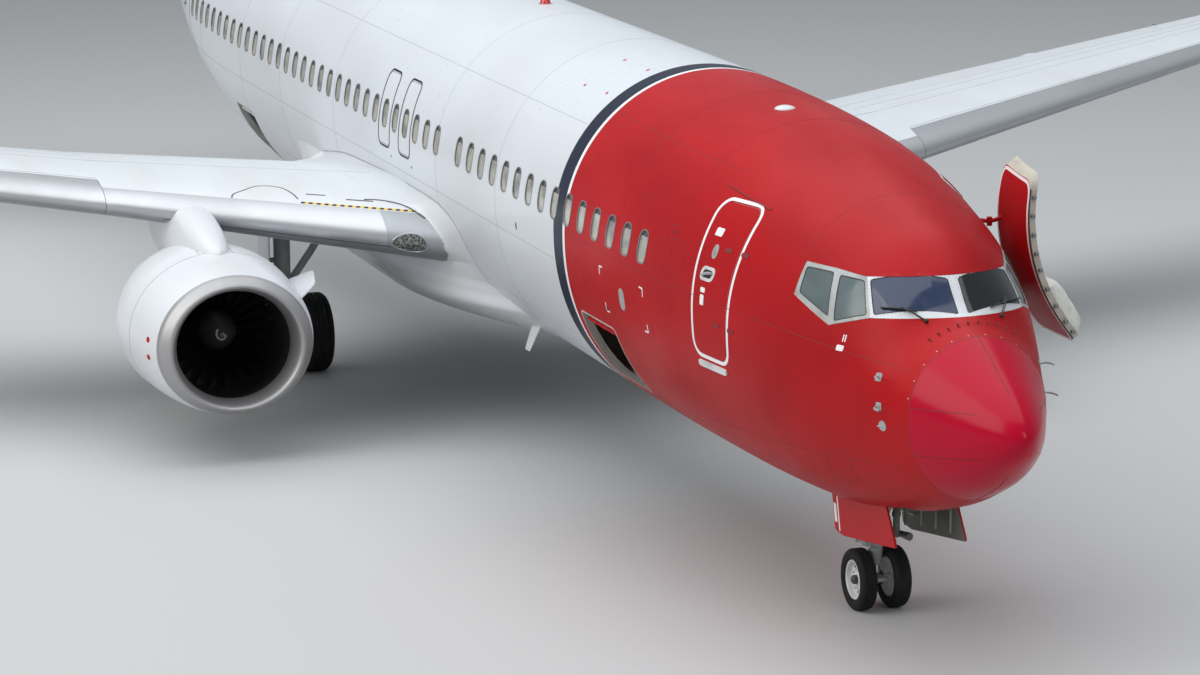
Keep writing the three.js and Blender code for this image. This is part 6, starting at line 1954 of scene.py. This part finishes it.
for s, z in ((8.106, 3.243), (6.715, 3.229), (8.03, 2.723), (6.685, 2.722)):
    to_s, to_z = np.sign(7.4 - s) * 0.10, np.sign(2.98 - z) * 0.10
    for side in (1, -1):
        arm = lay(np.array([s + to_s, s, s]), np.array([z, z, z + to_z]), side)
        brackets += [mark(arm[:2], 0.02, False), mark(arm[1:], 0.02, False)]
make("corner_marks", brackets, line_white)
for key, door in HOLD_DOORS.items():
    make(f"{key}_hold_frame", mark(lay(*outline(door, -0.012).T, -1), 0.022, step=0.04), beige)
blanks = [mark(lay(*window_outline(min(windows) - 0.508 * step, 0.0).T, side), 0.005)
          for step in (1, 2) for side in (1, -1)]
make("blanked_window_outlines", blanks, red_line)
print(len(pieces), "pieces so far")

# %% [markdown]
# ## What the frame already has right
# Some of the frame's own solids have the right shape: the flat control surfaces, the instrument
# panel and the two hold doors. They stay, and only get their finishes. The seats are soft, so they
# are made again, each as a shell and two cushions.

# %% Seats and finishes of the frame's solids
def cushion(low, high, axis):
    """A cushion between two corners: nearly flat on its shell's side, and swollen on the other, up
    for a seat (axis 2) or forward for a back (axis 0)."""
    low, high = np.array(low), np.array(high)
    near = np.zeros((*uu.shape, 3))
    for k, share in zip([k for k in range(3) if k != axis], (uu, vv)):
        near[..., k] = (low[k] + high[k]) / 2 + share * (high[k] - low[k]) / 2
    far = near.copy()
    start, way = (low[axis], 1) if axis == 2 else (high[axis], -1)
    near[..., axis] = start + way * 0.01 * (1 - swell)
    far[..., axis] = start + way * (high - low)[axis] * (0.35 + 0.65 * swell)
    return pillow(far, near)


SEAT_S, SEAT_Y = 3.05, 0.53
frames, cushions = [], {}
for name, side in SIDES.items():
    s, y = SEAT_S, side * SEAT_Y
    frames += [box_part((s + 0.02, s + 0.60), (y - 0.24, y + 0.24), (3.13, 3.19), 0.015),
               box_part((s + 0.58, s + 0.66), (y - 0.23, y + 0.23), (3.15, 3.90), 0.02),
               box_part((s + 0.1, s + 0.5), (y - 0.12, y + 0.12), (FLOOR, 3.14), 0.01)]
    frames += [rod((s + 0.2, y + e, 3.40), (s + 0.58, y + e, 3.46), 0.022, sides=14) for e in (0.26, -0.26)]
    cushions[name + "_seat"] = cushion((s, y - 0.22, 3.19), (s + 0.56, y + 0.22, 3.32), 2)
    cushions[name + "_back"] = cushion((s + 0.46, y - 0.21, 3.32), (s + 0.58, y + 0.21, 3.88), 0)
make("pilot_seat_frames", frames, trim, replaces=["pilot_seats"])
for place, shape in cushions.items():
    make(f"pilot_{place}_cushion", shape, seat_cloth, sharp=60)

KEPT = {"rudder": plain_white, "left_elevator": wing_grey, "right_elevator": wing_grey,
        "left_aileron": wing_grey, "right_aileron": wing_grey, "instrument_panel": trim,
        "forward_cargo_door": red, "aft_cargo_door": plain_white}
for node, made in KEPT.items():
    frame["nodes"][node].data.materials.clear()
    frame["nodes"][node].data.materials.append(made)
print("kept from the frame:", list(KEPT))
# %% [markdown]
# ## Floor, light and camera
# The airliner stands on a pale floor, lit by an even sky and three large soft panels: one overhead,
# one high on the side the photograph was taken from, and a weaker one far ahead of the nose, which
# draws the long highlights on the nose cone and the leading edges. A sun lamp would give hard
# shadows, and those of an overcast day are soft.

# %% Floor and light
REACH = 400.0
ground = bpy.data.meshes.new("floor")
corners = [(-REACH, -REACH, 0), (REACH, -REACH, 0), (REACH, REACH, 0), (-REACH, REACH, 0)]
ground.from_pydata(corners, [], [(0, 1, 2, 3)])
floor = bpy.data.objects.new("floor", ground)
bpy.context.scene.collection.objects.link(floor)
pale = bpy.data.materials.new("pale floor")
pale.use_nodes = True
shader = pale.node_tree.nodes["Principled BSDF"]
shader.inputs["Base Color"].default_value = (0.50, 0.50, 0.50, 1)
shader.inputs["Roughness"].default_value = 0.7
ground.materials.append(pale)

sky = bpy.data.worlds.new("soft sky")
sky.use_nodes = True
glow = sky.node_tree.nodes["Background"]
glow.inputs["Color"].default_value = (0.86, 0.93, 1.0, 1)
glow.inputs["Strength"].default_value = 0.40
bpy.context.scene.world = sky


def panel(name, place, aim, size, power, color, shape="SQUARE"):
    """An area light at a place, turned to look at a point."""
    light = bpy.data.lights.new(name, "AREA")
    light.shape, light.size, light.energy, light.color = shape, size, power, color
    lamp_object = bpy.data.objects.new(name, light)
    bpy.context.scene.collection.objects.link(lamp_object)
    back, right, _ = frame_of(np.asarray(place, float) - aim)
    turn = np.eye(4)
    turn[:3, :3], turn[:3, 3] = np.stack([right, np.cross(back, right), back], 1), place
    lamp_object.matrix_world = Matrix(turn.tolist())


panel("overhead_panel", (2.0, -4.0, 42.0), (2.0, 0.0, 0.0), 60.0, 21000.0, (0.95, 0.98, 1.0))
panel("key_panel", (16.0, -52.0, 32.0), (8.0, 0.0, 2.0), 40.0, 16000.0, (1.0, 0.97, 0.93))
panel("nose_panel", (62.0, 10.0, 30.0), (18.0, 0.0, 3.0), 20.0, 4000.0, (1.0, 0.99, 0.97), "DISK")
bpy.context.scene.view_settings.view_transform = "Standard"

# %% [markdown]
# The camera stands where the photograph was taken. Its place and its three angles were solved from
# the even pitch of the cabin windows and from the wheels, in airframe axes, and are turned to the
# frame's.

# %% Camera
EYE = (-35.2456, -16.1439, 12.0470)
HEADING, TILT, ROLL = 2.82342223, -0.208427577, -0.00975368988
FOCAL_PIXELS, PHOTO_WIDTH, SENSOR = 4015.40163, 1200, 36.0
ahead = np.array([math.cos(TILT) * math.cos(HEADING), math.cos(TILT) * math.sin(HEADING), math.sin(TILT)])
right = unit(np.cross(ahead, [0, 0, 1.0]))
above = np.cross(right, ahead)
level_right, c, e = right, math.cos(ROLL), math.sin(ROLL)
right, above = c * right + e * above, c * above - e * level_right
to_frame = np.array([[COS, 0, SIN], [0, 1, 0], [-SIN, 0, COS]])
pose = np.eye(4)
pose[:3, :3] = np.stack([to_frame @ right, to_frame @ above, -to_frame @ ahead], 1)
pose[:3, 3] = world(EYE)
camera_data = bpy.data.cameras.new("camera")
camera_data.lens = FOCAL_PIXELS * SENSOR / PHOTO_WIDTH
camera_data.sensor_width, camera_data.clip_end = SENSOR, 900.0
camera = bpy.data.objects.new("camera", camera_data)
camera.matrix_world = Matrix(pose.tolist())
bpy.context.scene.collection.objects.link(camera)
bpy.context.scene.camera = camera
print("camera lens", round(camera_data.lens, 2), "mm at", np.round(world(EYE), 2))
